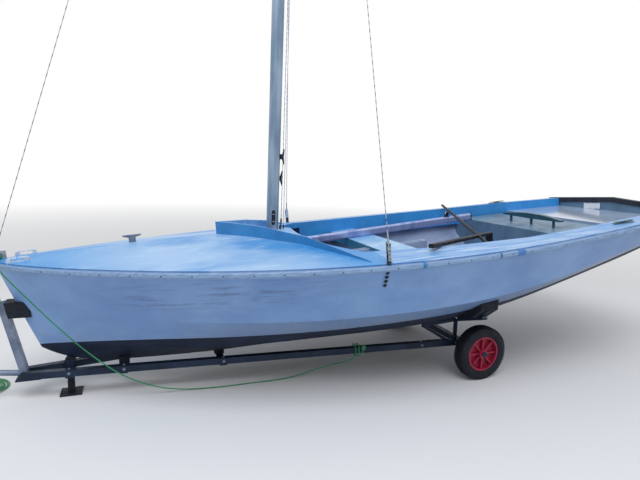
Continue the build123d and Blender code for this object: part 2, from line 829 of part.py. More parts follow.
# Tiller extension, lying across the cockpit from side deck to side deck.
with BuildPart() as tiller_extension:
    ext_line = EXT_NEAR - EXT_FAR
    with BuildSketch(Plane(origin=EXT_FAR, z_dir=ext_line)):
        Circle(EXT_R)
    extrude(amount=ext_line.length + EXT_OVER)
    add(side_decks["starboard"], mode=Mode.SUBTRACT)
    add(side_decks["port"], mode=Mode.SUBTRACT)
tiller_extension_placed = largest(tiller_extension.part).moved(BOAT)
tiller_extension_placed.label = "tiller_extension"
export_step(tiller_extension_placed, "parts/tiller_extension.step")

# Tiller lying over the extension, its aft end a block that drops below it.
with BuildPart() as tiller:
    tiller_line = TILLER_FORE - TILLER_AFT
    across = Vector(0, 0, 1).cross(tiller_line)
    with BuildSketch(Plane(origin=TILLER_AFT, x_dir=across, z_dir=tiller_line)):
        RectangleRounded(TILLER_W, TILLER_H, TILLER_H / 3)
    extrude(amount=tiller_line.length)
    head_at = TILLER_AFT + tiller_line.normalized() * TILLER_HEAD[0] / 2
    with Locations((head_at.X, head_at.Y, head_at.Z)):
        Box(*TILLER_HEAD, align=(Align.CENTER, Align.CENTER, Align.MAX))
    add(side_decks["port"], mode=Mode.SUBTRACT)
    add(tiller_extension.part, mode=Mode.SUBTRACT)
tiller_placed = tiller.part.moved(BOAT)
tiller_placed.label = "tiller"
export_step(tiller_placed, "parts/tiller.step")

# Rudder hanging: a strap down the transom and two gudgeons on it.
with BuildPart() as rudder_strap:
    with BuildSketch(Plane.YZ):
        with Locations((0, (GUDGEON_Z[0] + GUDGEON_Z[1]) / 2)):
            Rectangle(STRAP_W, GUDGEON_Z[1] - GUDGEON_Z[0] + 2 * STRAP_OVER)
    extrude(amount=-STRAP_T)
rudder_strap_placed = rudder_strap.part.moved(BOAT)
rudder_strap_placed.label = "rudder_strap"
export_step(rudder_strap_placed, "parts/rudder_strap.step")

with BuildPart() as rudder_gudgeons:
    for z in GUDGEON_Z:
        with BuildSketch(Plane.XY.offset(z - GUDGEON_T / 2)):
            with Locations((-GUDGEON_REACH, 0)):
                Circle(GUDGEON_R)
                Rectangle(GUDGEON_REACH - STRAP_T, GUDGEON_ARM_W, align=(Align.MIN, Align.CENTER))
                Circle(GUDGEON_BORE_R, mode=Mode.SUBTRACT)
        extrude(amount=GUDGEON_T)
rudder_gudgeons_placed = rudder_gudgeons.part.moved(BOAT)
rudder_gudgeons_placed.label = "rudder_gudgeons"
export_step(rudder_gudgeons_placed, "parts/rudder_gudgeons.step")


def side_bar(aft):
    """Centre of the port side bar of the trolley at a distance aft."""
    return BAR_HEAD + (BAR_TAIL - BAR_HEAD) * ((aft - BAR_HEAD.X) / (BAR_TAIL.X - BAR_HEAD.X))


def bar_between(a, b, width, height):
    """Square-ended bar from a to b, its height as near upright as the line allows."""
    line = b - a
    with BuildPart() as bar:
        with BuildSketch(Plane(origin=a, x_dir=Vector(0, 0, 1).cross(line), z_dir=line)):
            Rectangle(width, height)
        extrude(amount=line.length)
    return bar.part


# Trolley frame: side bars, axle, crosspieces, head plate and the roller's bracket.
with BuildPart() as trolley_frame:
    for side in SIDES:
        head = placed(BAR_HEAD.X, side.sign * BAR_HEAD.Y, BAR_HEAD.Z)
        tail = placed(BAR_TAIL.X, side.sign * BAR_TAIL.Y, BAR_TAIL.Z)
        add(bar_between(head, tail, BAR, BAR))
    with Locations((x_of(AXLE_AFT), 0, AXLE_Z)):
        Box(BAR, 2 * BEAM_END, BAR)
    with Locations(Location((x_of(AXLE_AFT), 0, AXLE_Z), (90, 0, 0))):
        Cylinder(STUB_R, 2 * STUB_END)
    for side in SIDES:
        washer_y = side.sign * (STUB_END - WASHER_T / 2)
        with Locations(Location((x_of(AXLE_AFT), washer_y, AXLE_Z), (90, 0, 0))):
            Cylinder(WASHER_R, WASHER_T)
    for cross in CROSSES:
        with Locations((x_of(cross.aft), 0, cross.top)):
            Box(CROSS_W, 2 * cross.half_y, CROSS_T, align=(Align.CENTER, Align.CENTER, Align.MAX))
    with Locations((x_of(HEAD_AFT), 0, HEAD_TOP)):
        Box(*HEAD_PLATE, align=(Align.CENTER, Align.CENTER, Align.MAX))
    bracket_z = CROSSES[0].top
    cheek_y = ROLLER_L / 2 + ROLLER_PLAY
    with Locations((x_of(CROSSES[0].aft), 0, bracket_z)):
        Box(CROSS_W, 2 * (cheek_y + CHEEK_T), CHEEK_T, align=UP_FROM_BASE)
    for side in SIDES:
        outward = Align.MIN if side.sign > 0 else Align.MAX
        with Locations((x_of(CROSSES[0].aft), side.sign * cheek_y, bracket_z)):
            Box(
                CROSS_W,
                CHEEK_T,
                ROLLER_Z + CHEEK_OVER - bracket_z,
                align=(Align.CENTER, outward, Align.MIN),
            )
    with Locations(Location((x_of(CROSSES[0].aft), 0, ROLLER_Z), (90, 0, 0))):
        Cylinder(PIN_R, 2 * (cheek_y + CHEEK_T + PIN_R))
trolley_frame.part.label = "trolley_frame"
export_step(trolley_frame.part, "parts/trolley_frame.step")

# Prop foot under the front of the frame.
with BuildPart() as prop_foot:
    with Locations((x_of(CROSSES[0].aft), 0, 0)):
        Box(FOOT_LONG, FOOT_WIDE, FOOT_T, align=UP_FROM_BASE)
        Box(FOOT_LEG, FOOT_LEG, CROSSES[0].top - CROSS_T, align=UP_FROM_BASE)
prop_foot.part.label = "prop_foot"
export_step(prop_foot.part, "parts/prop_foot.step")

# Keel roller on its pin, worn to the keel that rests on it.
with BuildPart() as keel_roller:
    with Locations(Location((x_of(CROSSES[0].aft), 0, ROLLER_Z), (90, 0, 0))):
        Cylinder(ROLLER_R, ROLLER_L)
        Cylinder(PIN_R + ROLLER_PLAY, ROLLER_L, mode=Mode.SUBTRACT)
    add(hull_world, mode=Mode.SUBTRACT)
keel_roller.part.label = "keel_roller"
export_step(keel_roller.part, "parts/keel_roller.step")

# Keel blocks on the two rear crosspieces.
with BuildPart() as keel_blocks:
    for cross in CROSSES[1:]:
        with Locations((x_of(cross.aft), 0, cross.top)):
            Box(*BLOCK, align=UP_FROM_BASE)
    add(hull_world, mode=Mode.SUBTRACT)
keel_blocks.part.label = "keel_blocks"
export_step(keel_blocks.part, "parts/keel_blocks.step")

# Bow post: a channel, open forward, that leans forward from the head plate.
post_line = BOW_POST_TOP - BOW_POST_FOOT
post_plane = Plane(origin=BOW_POST_FOOT, x_dir=(0, 1, 0), z_dir=post_line)
with BuildPart() as bow_post:
    with BuildSketch(post_plane.offset(-BOW_POST_D)):
        Rectangle(BOW_POST_W, BOW_POST_D)
        with Locations((0, -BOW_POST_WALL)):
            Rectangle(BOW_POST_W - 2 * BOW_POST_WALL, BOW_POST_D, mode=Mode.SUBTRACT)
    extrude(amount=post_line.length + BOW_POST_D)
    with Locations((x_of(HEAD_AFT), 0, HEAD_TOP)):
        Box(TALL, TALL, TALL, align=(Align.CENTER, Align.CENTER, Align.MAX), mode=Mode.SUBTRACT)
    add(trolley_frame.part, mode=Mode.SUBTRACT)
bow_post_whole = largest(bow_post.part)
bow_post_whole.label = "bow_post"
export_step(bow_post_whole, "parts/bow_post.step")

# Rubber snubber between the post and the stem.
with BuildPart() as bow_snubber:
    with Locations((BOW_POST_TOP.X, 0, SNUBBER_FOOT)):
        Box(SNUBBER_REACH, SNUBBER_W, SNUBBER_H, align=(Align.MAX, Align.CENTER, Align.MIN))
    add(hull_world, mode=Mode.SUBTRACT)
    with BuildSketch(post_plane):
        with Locations((0, BOW_POST_D / 2)):
            Rectangle(4 * BOW_POST_W, TALL, align=(Align.CENTER, Align.MAX))
    extrude(amount=2 * post_line.length, mode=Mode.SUBTRACT)
bow_snubber_whole = largest(bow_snubber.part)
bow_snubber_whole.label = "bow_snubber"
export_step(bow_snubber_whole, "parts/bow_snubber.step")

# Drawbar, butted into the channel of the bow post, with its cross handle.
with BuildPart() as drawbar_handle:
    draw_to = placed(HANDLE_AFT, 0, HANDLE_Z)
    draw_line = draw_to - DRAW_FROM
    with BuildSketch(Plane(origin=DRAW_FROM, z_dir=draw_line)):
        Circle(DRAW_R)
    extrude(amount=draw_line.length)
    with Locations(Location((draw_to.X, draw_to.Y, draw_to.Z), (90, 0, 0))):
        Cylinder(HANDLE_R, HANDLE_W)
    add(trolley_frame.part, mode=Mode.SUBTRACT)
    add(bow_post_whole, mode=Mode.SUBTRACT)
drawbar_whole = largest(drawbar_handle.part)
drawbar_whole.label = "drawbar_handle"
export_step(drawbar_whole, "parts/drawbar_handle.step")

# Cradles over the side bars: post, rail, brace and arm, with a pad under the bilge.
arm_rise = (ARM_TIP[1] - ARM_KNEE[1]) / (ARM_TIP[0] - ARM_KNEE[0])


def arm_top(y):
    """Height of the cradle arm's upper face at a distance to port."""
    return ARM_KNEE[1] + (y - ARM_KNEE[0]) * arm_rise + ARM_T / 2 * hypot(1, arm_rise)


bend_z = arm_top(PAD_BEND)
outer_z = bend_z + (PAD_TO - PAD_BEND) * BILGE_RISE
for side in SIDES:
    post_foot = side_bar(CRADLE_AFT)
    brace_foot = side_bar(BRACE_AFT)
    foot = placed(CRADLE_AFT, side.sign * post_foot.Y, post_foot.Z)
    knee = placed(CRADLE_AFT, side.sign * ARM_KNEE[0], ARM_KNEE[1])
    arm_tip = placed(CRADLE_AFT, side.sign * ARM_TIP[0], ARM_TIP[1])
    rail_aft = placed(CRADLE_AFT, side.sign * post_foot.Y, RAIL_AFT_Z)
    rail_fore = placed(RAIL_FORE_AFT, side.sign * RAIL_FORE[0], RAIL_FORE[1])
    brace_low = placed(BRACE_AFT, side.sign * brace_foot.Y, brace_foot.Z)
    with BuildPart() as cradle_arm:
        with Locations((foot.X, foot.Y, foot.Z)):
            Box(CRADLE_TUBE, CRADLE_TUBE, RAIL_AFT_Z - foot.Z, align=UP_FROM_BASE)
        add(bar_between(knee, arm_tip, ARM_W, ARM_T))
        add(bar_between(rail_aft, rail_fore, CRADLE_TUBE, CRADLE_TUBE))
        add(bar_between(brace_low, rail_fore, CRADLE_TUBE, CRADLE_TUBE))
        with BuildSketch(Plane.YZ.offset(knee.X - ARM_W / 2)):
            with BuildLine():
                plate = [
                    (PAD_BEND - TIP_PLATE, arm_top(PAD_BEND - TIP_PLATE)),
                    (PAD_TO, outer_z),
                    (PAD_TO + TIP_PLATE, outer_z - TIP_PLATE),
                    (PAD_BEND + TIP_PLATE, arm_top(PAD_BEND) - TIP_PLATE),
                ]
                Polyline(*[(side.sign * y, z) for y, z in plate], close=True)
            make_face()
        extrude(amount=ARM_W)
        add(hull_world, mode=Mode.SUBTRACT)
        add(trolley_frame.part, mode=Mode.SUBTRACT)
    cradle_arm_whole = largest(cradle_arm.part)
    cradle_arm_whole.label = f"cradle_arm_{side.name}"
    export_step(cradle_arm_whole, f"parts/cradle_arm_{side.name}.step")
    with BuildPart() as cradle_pad:
        with BuildSketch(Plane.YZ.offset(knee.X - PAD_LONG / 2)):
            with BuildLine():
                block = [
                    (PAD_FROM, arm_top(PAD_FROM)),
                    (PAD_BEND, bend_z),
                    (PAD_TO, outer_z),
                    (PAD_TO, outer_z + PAD_LONG),
                    (PAD_FROM, outer_z + PAD_LONG),
                ]
                Polyline(*[(side.sign * y, z) for y, z in block], close=True)
            make_face()
        extrude(amount=PAD_LONG)
        add(hull_world, mode=Mode.SUBTRACT)
        add(cradle_arm_whole, mode=Mode.SUBTRACT)
    cradle_pad_whole = cradle_pad.part.solids().sort_by(Axis.Z)[0]
    cradle_pad_whole.label = f"cradle_pad_{side.name}"
    export_step(cradle_pad_whole, f"parts/cradle_pad_{side.name}.step")

# Wheels: pneumatic tyre on a ribbed plastic hub that turns on the stub axle.
WHEEL_Y = (HUB_FROM + HUB_TO) / 2
TyreRing = namedtuple("TyreRing", "half_width radius")
TYRE_RINGS = (
    TyreRing(TYRE_W / 2, RIM_R),
    TyreRing(TYRE_W / 2, TYRE_R - 26),
    TyreRing(TYRE_W / 2 - 7, TYRE_R - 10),
    TyreRing(TYRE_W / 2 - 22, TYRE_R),
)
for side in SIDES:
    centre = Plane(
        origin=(x_of(AXLE_AFT), side.sign * WHEEL_Y, AXLE_Z), x_dir=(1, 0, 0), z_dir=(0, side.sign, 0)
    )
    with BuildPart() as tyre:
        with BuildSketch(Plane(origin=centre.origin, x_dir=(0, 1, 0), z_dir=(1, 0, 0))):
            with BuildLine():
                outer_half = [(ring.half_width, ring.radius) for ring in TYRE_RINGS]
                inner_half = [(-half_width, radius) for half_width, radius in reversed(outer_half)]
                Polyline(*outer_half, *inner_half, close=True)
            make_face()
        revolve(axis=Axis(centre.origin, (0, 1, 0)))
    tyre.part.label = f"tyre_{side.name}"
    export_step(tyre.part, f"parts/tyre_{side.name}.step")
    with BuildPart() as hub:
        with BuildSketch(centre.offset(-RIM_W / 2)):
            Circle(RIM_R)
            Circle(RIM_R - RIM_T, mode=Mode.SUBTRACT)
        extrude(amount=RIM_W)
        with BuildSketch(centre.offset(-WEB_T / 2)):
            Circle(RIM_R - RIM_T / 2)
        extrude(amount=WEB_T)
        with BuildSketch(centre.offset(-(HUB_TO - HUB_FROM) / 2)):
            Circle(BOSS_R)
        extrude(amount=HUB_TO - HUB_FROM)
        with BuildSketch(centre.offset(-RIB_W / 2)):
            with PolarLocations(0, RIB_COUNT):
                Rectangle(RIM_R - RIM_T / 2, RIB_T, align=(Align.MIN, Align.CENTER))
        extrude(amount=RIB_W)
        with BuildSketch(centre.offset(-RIM_R)):
            Circle(STUB_R + AXLE_PLAY)
        extrude(amount=2 * RIM_R, mode=Mode.SUBTRACT)
    hub.part.label = f"hub_{side.name}"
    export_step(hub.part, f"parts/hub_{side.name}.step")


def rope_tube(name, route):
    """Tube along straight runs joined by tangent arcs, as wide as the runs allow."""
    points = [placed(*point) for point in route]
    runs = [b - a for a, b in zip(points, points[1:])]
    radii = []
    for before, after in zip(runs, runs[1:]):
        half_turn = radians(before.get_angle(after)) / 2
        radii.append(BEND_SHARE * min(before.length, after.length) / tan(half_turn))
    with BuildPart() as tube:
        with BuildLine() as path:
            FilletPolyline(*points, radius=radii)
        with BuildSketch(Plane(origin=points[0], z_dir=runs[0])):
            Circle(ROPE_R)
        sweep(path=path.wires()[0])
    length = path.wires()[0].length
    section_area = tube.part.volume / length
    print(name, "length", round(length), "mm, section", round(section_area, 2), "mm2")
    print(name, "radii", [round(radius) for radius in radii])
    return tube.part


# Painter: from the stemhead down past the port bow, along the ground, round a side bar.
painter_rope = rope_tube("painter_rope", PAINTER)
painter_rope.label = "painter_rope"
export_step(painter_rope, "parts/painter_rope.step")

# Bow line: from the stemhead past the bow post to its coil on the ground.
with BuildPart() as bow_line_coil:
    with Locations((x_of(COIL_AFT), COIL_PORT, BOW_LINE[-1][2] - ROPE_R)):
        Cylinder(COIL_R, COIL_H, align=UP_FROM_BASE)
        Cylinder(COIL_EYE_R, COIL_H, align=UP_FROM_BASE, mode=Mode.SUBTRACT)
bow_line_coil.part.label = "bow_line_coil"
export_step(bow_line_coil.part, "parts/bow_line_coil.step")

with BuildPart() as bow_line:
    add(rope_tube("bow_line", BOW_LINE))
    add(bow_line_coil.part, mode=Mode.SUBTRACT)
bow_line.part.label = "bow_line"
export_step(bow_line.part, "parts/bow_line.step")
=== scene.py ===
"""Looks of a double-chine sailing dinghy on its launching trolley.

Metres, +X towards the bow, +Y to port, +Z up, floor at Z = 0. The boat's own fittings are
placed in its upright frame, with X from the transom and Z from the base line, and BOAT
sets them down as the trolley holds it. A distance called aft is measured aft of the
trolley's prop foot, and a negative one lies ahead of it.
"""

from collections import namedtuple
from math import cos, pi, radians, sin

import bmesh
import bpy
from mathutils import Matrix, Vector
from mathutils.bvhtree import BVHTree


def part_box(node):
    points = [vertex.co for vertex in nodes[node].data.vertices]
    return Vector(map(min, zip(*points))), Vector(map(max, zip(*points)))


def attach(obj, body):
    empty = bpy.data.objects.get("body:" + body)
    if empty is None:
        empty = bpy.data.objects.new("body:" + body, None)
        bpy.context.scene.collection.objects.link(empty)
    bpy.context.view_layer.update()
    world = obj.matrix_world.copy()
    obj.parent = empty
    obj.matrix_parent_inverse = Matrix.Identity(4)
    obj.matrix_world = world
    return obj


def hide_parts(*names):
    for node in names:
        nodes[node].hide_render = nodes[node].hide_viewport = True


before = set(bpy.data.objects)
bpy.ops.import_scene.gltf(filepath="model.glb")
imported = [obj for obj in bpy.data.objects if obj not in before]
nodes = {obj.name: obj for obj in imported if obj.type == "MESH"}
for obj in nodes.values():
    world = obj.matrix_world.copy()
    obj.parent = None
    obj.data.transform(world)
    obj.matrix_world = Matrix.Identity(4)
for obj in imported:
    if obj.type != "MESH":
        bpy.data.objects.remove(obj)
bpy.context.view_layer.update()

MM = 0.001
STAND = "boat_and_trolley"
Side = namedtuple("Side", "name sign")
SIDES = (Side("port", 1), Side("starboard", -1))

# The boat's place over the trolley, and where distances aft start.
BOW_DOWN = radians(6)
BOAT_ORIGIN = Vector((-2.620, 0, 0.537))
BOAT = Matrix.Translation(BOAT_ORIGIN) @ Matrix.Rotation(BOW_DOWN, 4, "Y")
TO_BOAT = BOAT.inverted()
PROP_FOOT_X = 1.800

# Turns: a turned form's axis from up to across, and a flat outline up on its edge.
ACROSS = Matrix.Rotation(pi / 2, 4, "X")
ON_EDGE = Matrix(((0, 0, 1, 0), (1, 0, 0, 0), (0, 1, 0, 0), (0, 0, 0, 1)))

# Photograph: 27 mm lens on a 36 mm sensor, with the camera's place and angles.
CAMERA_AT = Vector((1.4005, 3.0749, 1.4005))
CAMERA_YAW = radians(20.93)
CAMERA_DOWN = radians(8.703)
CAMERA_ROLL = radians(1.926)
LENS_MM = 27.0
SENSOR_MM = 36.0

# Ropes: points aft, to port and up, as in the part's source.
ROPE_D = 0.008
ROPE_LAY = 0.026
KNOT_WRAPS = 2
KNOT_LOOPS = 3
KNOT_SWING = 0.42
KNOT_THICK = 0.62
KNOT_STEPS = 72
STEPS_IN_A_LAY = 7
PAINTER = (
    (-0.330, 0.004, 0.846),
    (-0.330, 0.045, 0.846),
    (-0.327, 0.092, 0.845),
    (-0.312, 0.128, 0.813),
    (-0.272, 0.151, 0.760),
    (-0.212, 0.166, 0.690),
    (-0.145, 0.178, 0.611),
    (-0.072, 0.187, 0.523),
    (0.003, 0.188, 0.434),
    (0.080, 0.193, 0.349),
    (0.160, 0.196, 0.270),
    (0.242, 0.200, 0.196),
    (0.330, 0.203, 0.134),
    (0.420, 0.198, 0.084),
    (0.514, 0.191, 0.044),
    (0.612, 0.180, 0.016),
    (0.712, 0.183, 0.006),
    (0.818, 0.196, 0.006),
    (0.930, 0.201, 0.006),
    (1.045, 0.198, 0.006),
    (1.160, 0.203, 0.006),
    (1.270, 0.200, 0.006),
    (1.370, 0.198, 0.016),
    (1.455, 0.212, 0.042),
    (1.532, 0.246, 0.076),
    (1.602, 0.290, 0.108),
    (1.668, 0.332, 0.132),
    (1.716, 0.351, 0.166),
    (1.722, 0.351, 0.240),
    (1.728, 0.273, 0.240),
    (1.734, 0.273, 0.162),
    (1.740, 0.351, 0.162),
    (1.746, 0.351, 0.240),
    (1.752, 0.273, 0.240),
    (1.758, 0.273, 0.162),
    (1.764, 0.351, 0.162),
    (1.775, 0.353, 0.222),
)
BOW_LINE = (
    (-0.350, 0.004, 0.838),
    (-0.350, 0.036, 0.838),
    (-0.366, 0.058, 0.806),
    (-0.372, 0.060, 0.748),
    (-0.352, 0.050, 0.676),
    (-0.324, 0.047, 0.618),
    (-0.334, 0.050, 0.556),
    (-0.352, 0.054, 0.480),
    (-0.364, 0.058, 0.395),
    (-0.372, 0.058, 0.300),
    (-0.382, 0.055, 0.212),
    (-0.396, 0.048, 0.132),
    (-0.410, 0.034, 0.062),
    (-0.420, 0.000, 0.014),
    (-0.426, -0.036, 0.006),
    (-0.438, -0.074, 0.006),
)
COIL_AFT = -0.500
COIL_PORT = -0.190
COIL_FIRST_R = 0.080
COIL_PITCH = 0.0115
COIL_TURNS = 5.6
COIL_WOBBLE = 0.0015
COIL_WOBBLES = 1.37
COIL_STEPS = 16
COIL_ENTRY = radians(62)
COIL_LIE = 0.006
COIL_OVER = 0.0155
# The coil's first points are the line's own way in, and a turn lies over it this many steps wide.
COIL_FROM_STEP = 3
COIL_CROSSING = 1.5


def aft_point(aft, port, up):
    """Row point from a distance aft, to port and up."""
    return Vector((PROP_FOOT_X - aft, port, up))


def linear(hexa):
    """An sRGB hex colour as the linear RGBA that sockets take."""
    parts = [int(hexa[i : i + 2], 16) / 255 for i in (1, 3, 5)]
    return (*[c / 12.92 if c <= 0.04045 else ((c + 0.055) / 1.055) ** 2.4 for c in parts], 1.0)


# Camera.
def make_camera():
    """The photograph's camera."""
    data = bpy.data.cameras.new("photo_camera")
    data.lens = LENS_MM
    data.sensor_width = SENSOR_MM
    data.clip_start = 0.05
    data.clip_end = 200
    forward = Vector((
        -sin(CAMERA_YAW) * cos(CAMERA_DOWN),
        -cos(CAMERA_YAW) * cos(CAMERA_DOWN),
        -sin(CAMERA_DOWN),
    ))
    level_right = Vector((-cos(CAMERA_YAW), sin(CAMERA_YAW), 0))
    level_up = level_right.cross(forward)
    right = level_right * cos(CAMERA_ROLL) + level_up * sin(CAMERA_ROLL)
    up = level_up * cos(CAMERA_ROLL) - level_right * sin(CAMERA_ROLL)
    camera = bpy.data.objects.new("photo_camera", data)
    turn = Matrix((right, up, -forward)).transposed().to_4x4()
    camera.matrix_world = Matrix.Translation(CAMERA_AT) @ turn
    bpy.context.scene.collection.objects.link(camera)
    bpy.context.scene.camera = camera


# Materials. Sockets by number: MapRange takes a value, the two ends that it runs between and the
# two that it is spread onto. Mix takes the share, and then values at 2 and 3 or colours at 6 and 7.
def node(tree, kind, feed=(), **settings):
    """Add a shader node with its settings and its sockets' links: each is fed a value of its
    own, an output, or the first output in use of another node."""
    made = tree.nodes.new("ShaderNode" + kind)
    for name, value in settings.items():
        setattr(made, name, value)
    for socket, value in dict(feed).items():
        if isinstance(value, bpy.types.Node):
            value = next(output for output in value.outputs if output.enabled)
        if isinstance(value, bpy.types.NodeSocket):
            tree.links.new(value, made.inputs[socket])
        else:
            made.inputs[socket].default_value = value
    return made


def start_finish(name, in_boat, *patterns):
    """An empty material, its place in metres and its patterns. Each pattern is a noise about
    0.5 whose features have that size in mm along X, Y and Z, with its detail and roughness,
    laid in the boat's upright frame or in the row's."""
    material = bpy.data.materials.new(name)
    material.use_nodes = True
    tree = material.node_tree
    tree.nodes.clear()
    place = node(tree, "TexCoord").outputs["Object"]
    if in_boat:
        feed = {"Vector": place, "Location": BOAT_ORIGIN, "Rotation": (0, BOW_DOWN, 0)}
        place = node(tree, "Mapping", feed, vector_type="TEXTURE").outputs["Vector"]
    noises = []
    for size_mm, detail, roughness in patterns:
        per_metre = [1 / (size * MM) for size in size_mm]
        scaled = node(tree, "VectorMath", {0: place, 1: per_metre}, operation="MULTIPLY")
        feed = {"Vector": scaled, "Scale": 1.0, "Detail": detail, "Roughness": roughness}
        noises.append(node(tree, "TexNoise", feed))
    return material, tree, place, noises


# Sizes of a finish's dirt patches and of its grain, how much dirt and wear show, its roughness
# from clean to soiled, and how deep its grain is.
Weather = namedtuple("Weather", "patch_mm grain_mm dirt wear rough bump_mm")


def weathered(name, base, dirt, worn, weather, metallic=0.0, coat=0.0, shine=0.5):
    """A finish with patches of dirt, worn spots in its grain and a fine uneven surface. On the
    thwart's and the breakwater's tops the pale spots are painted sky light.
    """
    material, tree, _, (patches, grain) = start_finish(
        name,
        False,
        ([weather.patch_mm] * 3, 5, 0.55),
        ([weather.grain_mm] * 3, 3, 0.55),
    )
    soil = node(tree, "MapRange", {0: patches, 1: 0.42, 2: 0.68, 4: weather.dirt})
    soiled = node(tree, "Mix", {0: soil, 6: linear(base), 7: linear(dirt)}, data_type="RGBA")
    spots = node(tree, "MapRange", {0: grain, 1: 0.58, 2: 0.70, 4: weather.wear})
    clean = node(tree, "MapRange", {0: patches, 1: 0.62, 2: 0.40})
    rubbed = node(tree, "Math", {0: spots, 1: clean}, operation="MULTIPLY")
    colour = node(tree, "Mix", {0: rubbed, 6: soiled, 7: linear(worn)}, data_type="RGBA")
    low, high = weather.rough
    rough = node(tree, "MapRange", {0: patches, 1: 0.35, 2: 0.65, 3: low, 4: high})
    feed = {"Height": grain, "Distance": weather.bump_mm * MM, "Strength": 0.6}
    shader = node(
        tree,
        "BsdfPrincipled",
        {
            "Base Color": colour,
            "Roughness": rough,
            "Normal": node(tree, "Bump", feed),
            "Specular IOR Level": shine,
            "Metallic": metallic,
            "Coat Weight": coat,
            "Coat Roughness": 0.15,
        },
    )
    node(tree, "OutputMaterial", {"Surface": shader})
    return material


# Boot-top: height of the bottom paint's edge amidships, where it starts to rise aft with its
# steepness and sweep, where it starts to rise forward with its slope, and its greatest height.
BOOT_Z = 0.205
BOOT_AFT_FROM = 1.70
BOOT_AFT_RISE = 0.155
BOOT_SWEEP = 1.25
BOOT_FORE_FROM = 2.90
BOOT_FORE_RISE = 0.035
BOOT_TOP_Z = 0.465
# Scuffs on the topsides, from and to along the boat and up, and how softly each end fades.
SCUFF_X = (2.90, 4.25)
SCUFF_X_FADE = (0.35, 0.30)
SCUFF_Z = (0.44, 0.67)
SCUFF_Z_FADE = (0.06, 0.05)


def hull_gelcoat():
    """White gelcoat, moulded and long in the open, its white painted in the blue-grey of its shade:
    a dull shine, grey scuffs along the fore half of the topsides, faint runs of dirt, painted
    shade that greys the downward-facing lower plank, and dark matt bottom paint below the boot-top."""
    material, tree, place, (mottle, runs, rubs, patches) = start_finish(
        "white_gelcoat_with_bottom_paint",
        True,
        ((420, 420, 260), 3, 0.55),
        ((26, 26, 420), 5, 0.55),
        ((330, 120, 26), 8, 0.68),
        ((160, 160, 60), 6, 0.55),
    )
    parts = node(tree, "SeparateXYZ", {0: place}).outputs
    aft = node(tree, "Math", {0: BOOT_AFT_FROM, 1: parts["X"]}, operation="SUBTRACT")
    aft = node(tree, "Math", {0: aft, 1: 0.0}, operation="MAXIMUM")
    aft = node(tree, "Math", {0: aft, 1: BOOT_SWEEP}, operation="POWER")
    aft = node(tree, "Math", {0: aft, 1: BOOT_AFT_RISE}, operation="MULTIPLY")
    fore = node(tree, "Math", {0: parts["X"], 1: BOOT_FORE_FROM}, operation="SUBTRACT")
    fore = node(tree, "Math", {0: fore, 1: BOOT_FORE_RISE}, operation="MULTIPLY")
    rise = node(tree, "Math", {0: aft, 1: fore}, operation="MAXIMUM")
    edge = node(tree, "Math", {0: rise, 1: BOOT_Z}, operation="ADD")
    edge = node(tree, "Math", {0: edge, 1: BOOT_TOP_Z}, operation="MINIMUM")
    above = node(tree, "Math", {0: parts["Z"], 1: edge}, operation="SUBTRACT")
    topside = node(tree, "MapRange", {0: above, 1: -0.001, 2: 0.002})

    pale = node(tree, "MapRange", {0: mottle, 1: 0.35, 2: 0.65})
    # Painted shade: the white gelcoat takes the mottled blue-grey that it shows in shade.
    white = {0: pale, 6: linear("#6c90c4"), 7: linear("#80a3d2")}
    white = node(tree, "Mix", white, data_type="RGBA")
    washed = node(tree, "MapRange", {0: runs, 1: 0.56, 2: 0.80, 4: 0.30})
    white = node(tree, "Mix", {0: washed, 6: white, 7: linear("#7384a3")}, data_type="RGBA")
    near_edge = node(tree, "MapRange", {0: above, 1: 0.12, 2: 0.0})
    dirt = node(tree, "MapRange", {0: mottle, 1: 0.40, 2: 0.62, 4: 0.5})
    dirt = node(tree, "Math", {0: near_edge, 1: dirt}, operation="MULTIPLY")
    white = node(tree, "Mix", {0: dirt, 6: white, 7: linear("#8c93a4")}, data_type="RGBA")
    # Painted shade: faces that look downward, on the lower plank, are greyed and darkened.
    normal = node(tree, "NewGeometry").outputs["True Normal"]
    facing_z = node(tree, "SeparateXYZ", {0: normal}).outputs["Z"]
    lower_plank_shade = node(tree, "MapRange", {0: facing_z, 1: -0.57, 2: -0.72})
    lower_plank_shade = node(tree, "Math", {0: lower_plank_shade, 1: 0.45}, operation="MULTIPLY")
    white = node(tree, "Mix", {0: lower_plank_shade, 6: white, 7: linear("#5f7190")}, data_type="RGBA")
    within = []
    for axis, ends, fades in (("X", SCUFF_X, SCUFF_X_FADE), ("Z", SCUFF_Z, SCUFF_Z_FADE)):
        start = {0: parts[axis], 1: ends[0], 2: ends[0] + fades[0]}
        stop = {0: parts[axis], 1: ends[1], 2: ends[1] - fades[1]}
        both = {0: node(tree, "MapRange", start), 1: node(tree, "MapRange", stop)}
        within.append(node(tree, "Math", both, operation="MULTIPLY"))
    within = node(tree, "Math", {0: within[0], 1: within[1]}, operation="MULTIPLY")
    scuffs = node(tree, "MapRange", {0: rubs, 1: 0.49, 2: 0.70, 4: 0.80})
    scuffs = node(tree, "Math", {0: within, 1: scuffs}, operation="MULTIPLY")
    white = node(tree, "Mix", {0: scuffs, 6: white, 7: linear("#526389")}, data_type="RGBA")

    chalked = node(tree, "MapRange", {0: patches, 1: 0.45, 2: 0.70})
    dark = {0: chalked, 6: linear("#07152e"), 7: linear("#142440")}
    dark = node(tree, "Mix", dark, data_type="RGBA")
    gloss = node(tree, "MapRange", {0: runs, 1: 0.35, 2: 0.70, 3: 0.30, 4: 0.46})
    wavy = {"Height": mottle, "Distance": 1.2 * MM, "Strength": 0.35}
    shader = node(
        tree,
        "BsdfPrincipled",
        {
            "Base Color": node(tree, "Mix", {0: topside, 6: dark, 7: white}, data_type="RGBA"),
            "Roughness": node(tree, "Mix", {0: topside, 2: 0.72, 3: gloss}),
            "Normal": node(tree, "Bump", wavy),
            "Specular IOR Level": 0.35,
            "Coat Weight": 0.05,
            "Coat Roughness": 0.2,
        },
    )
    node(tree, "OutputMaterial", {"Surface": shader})
    return material


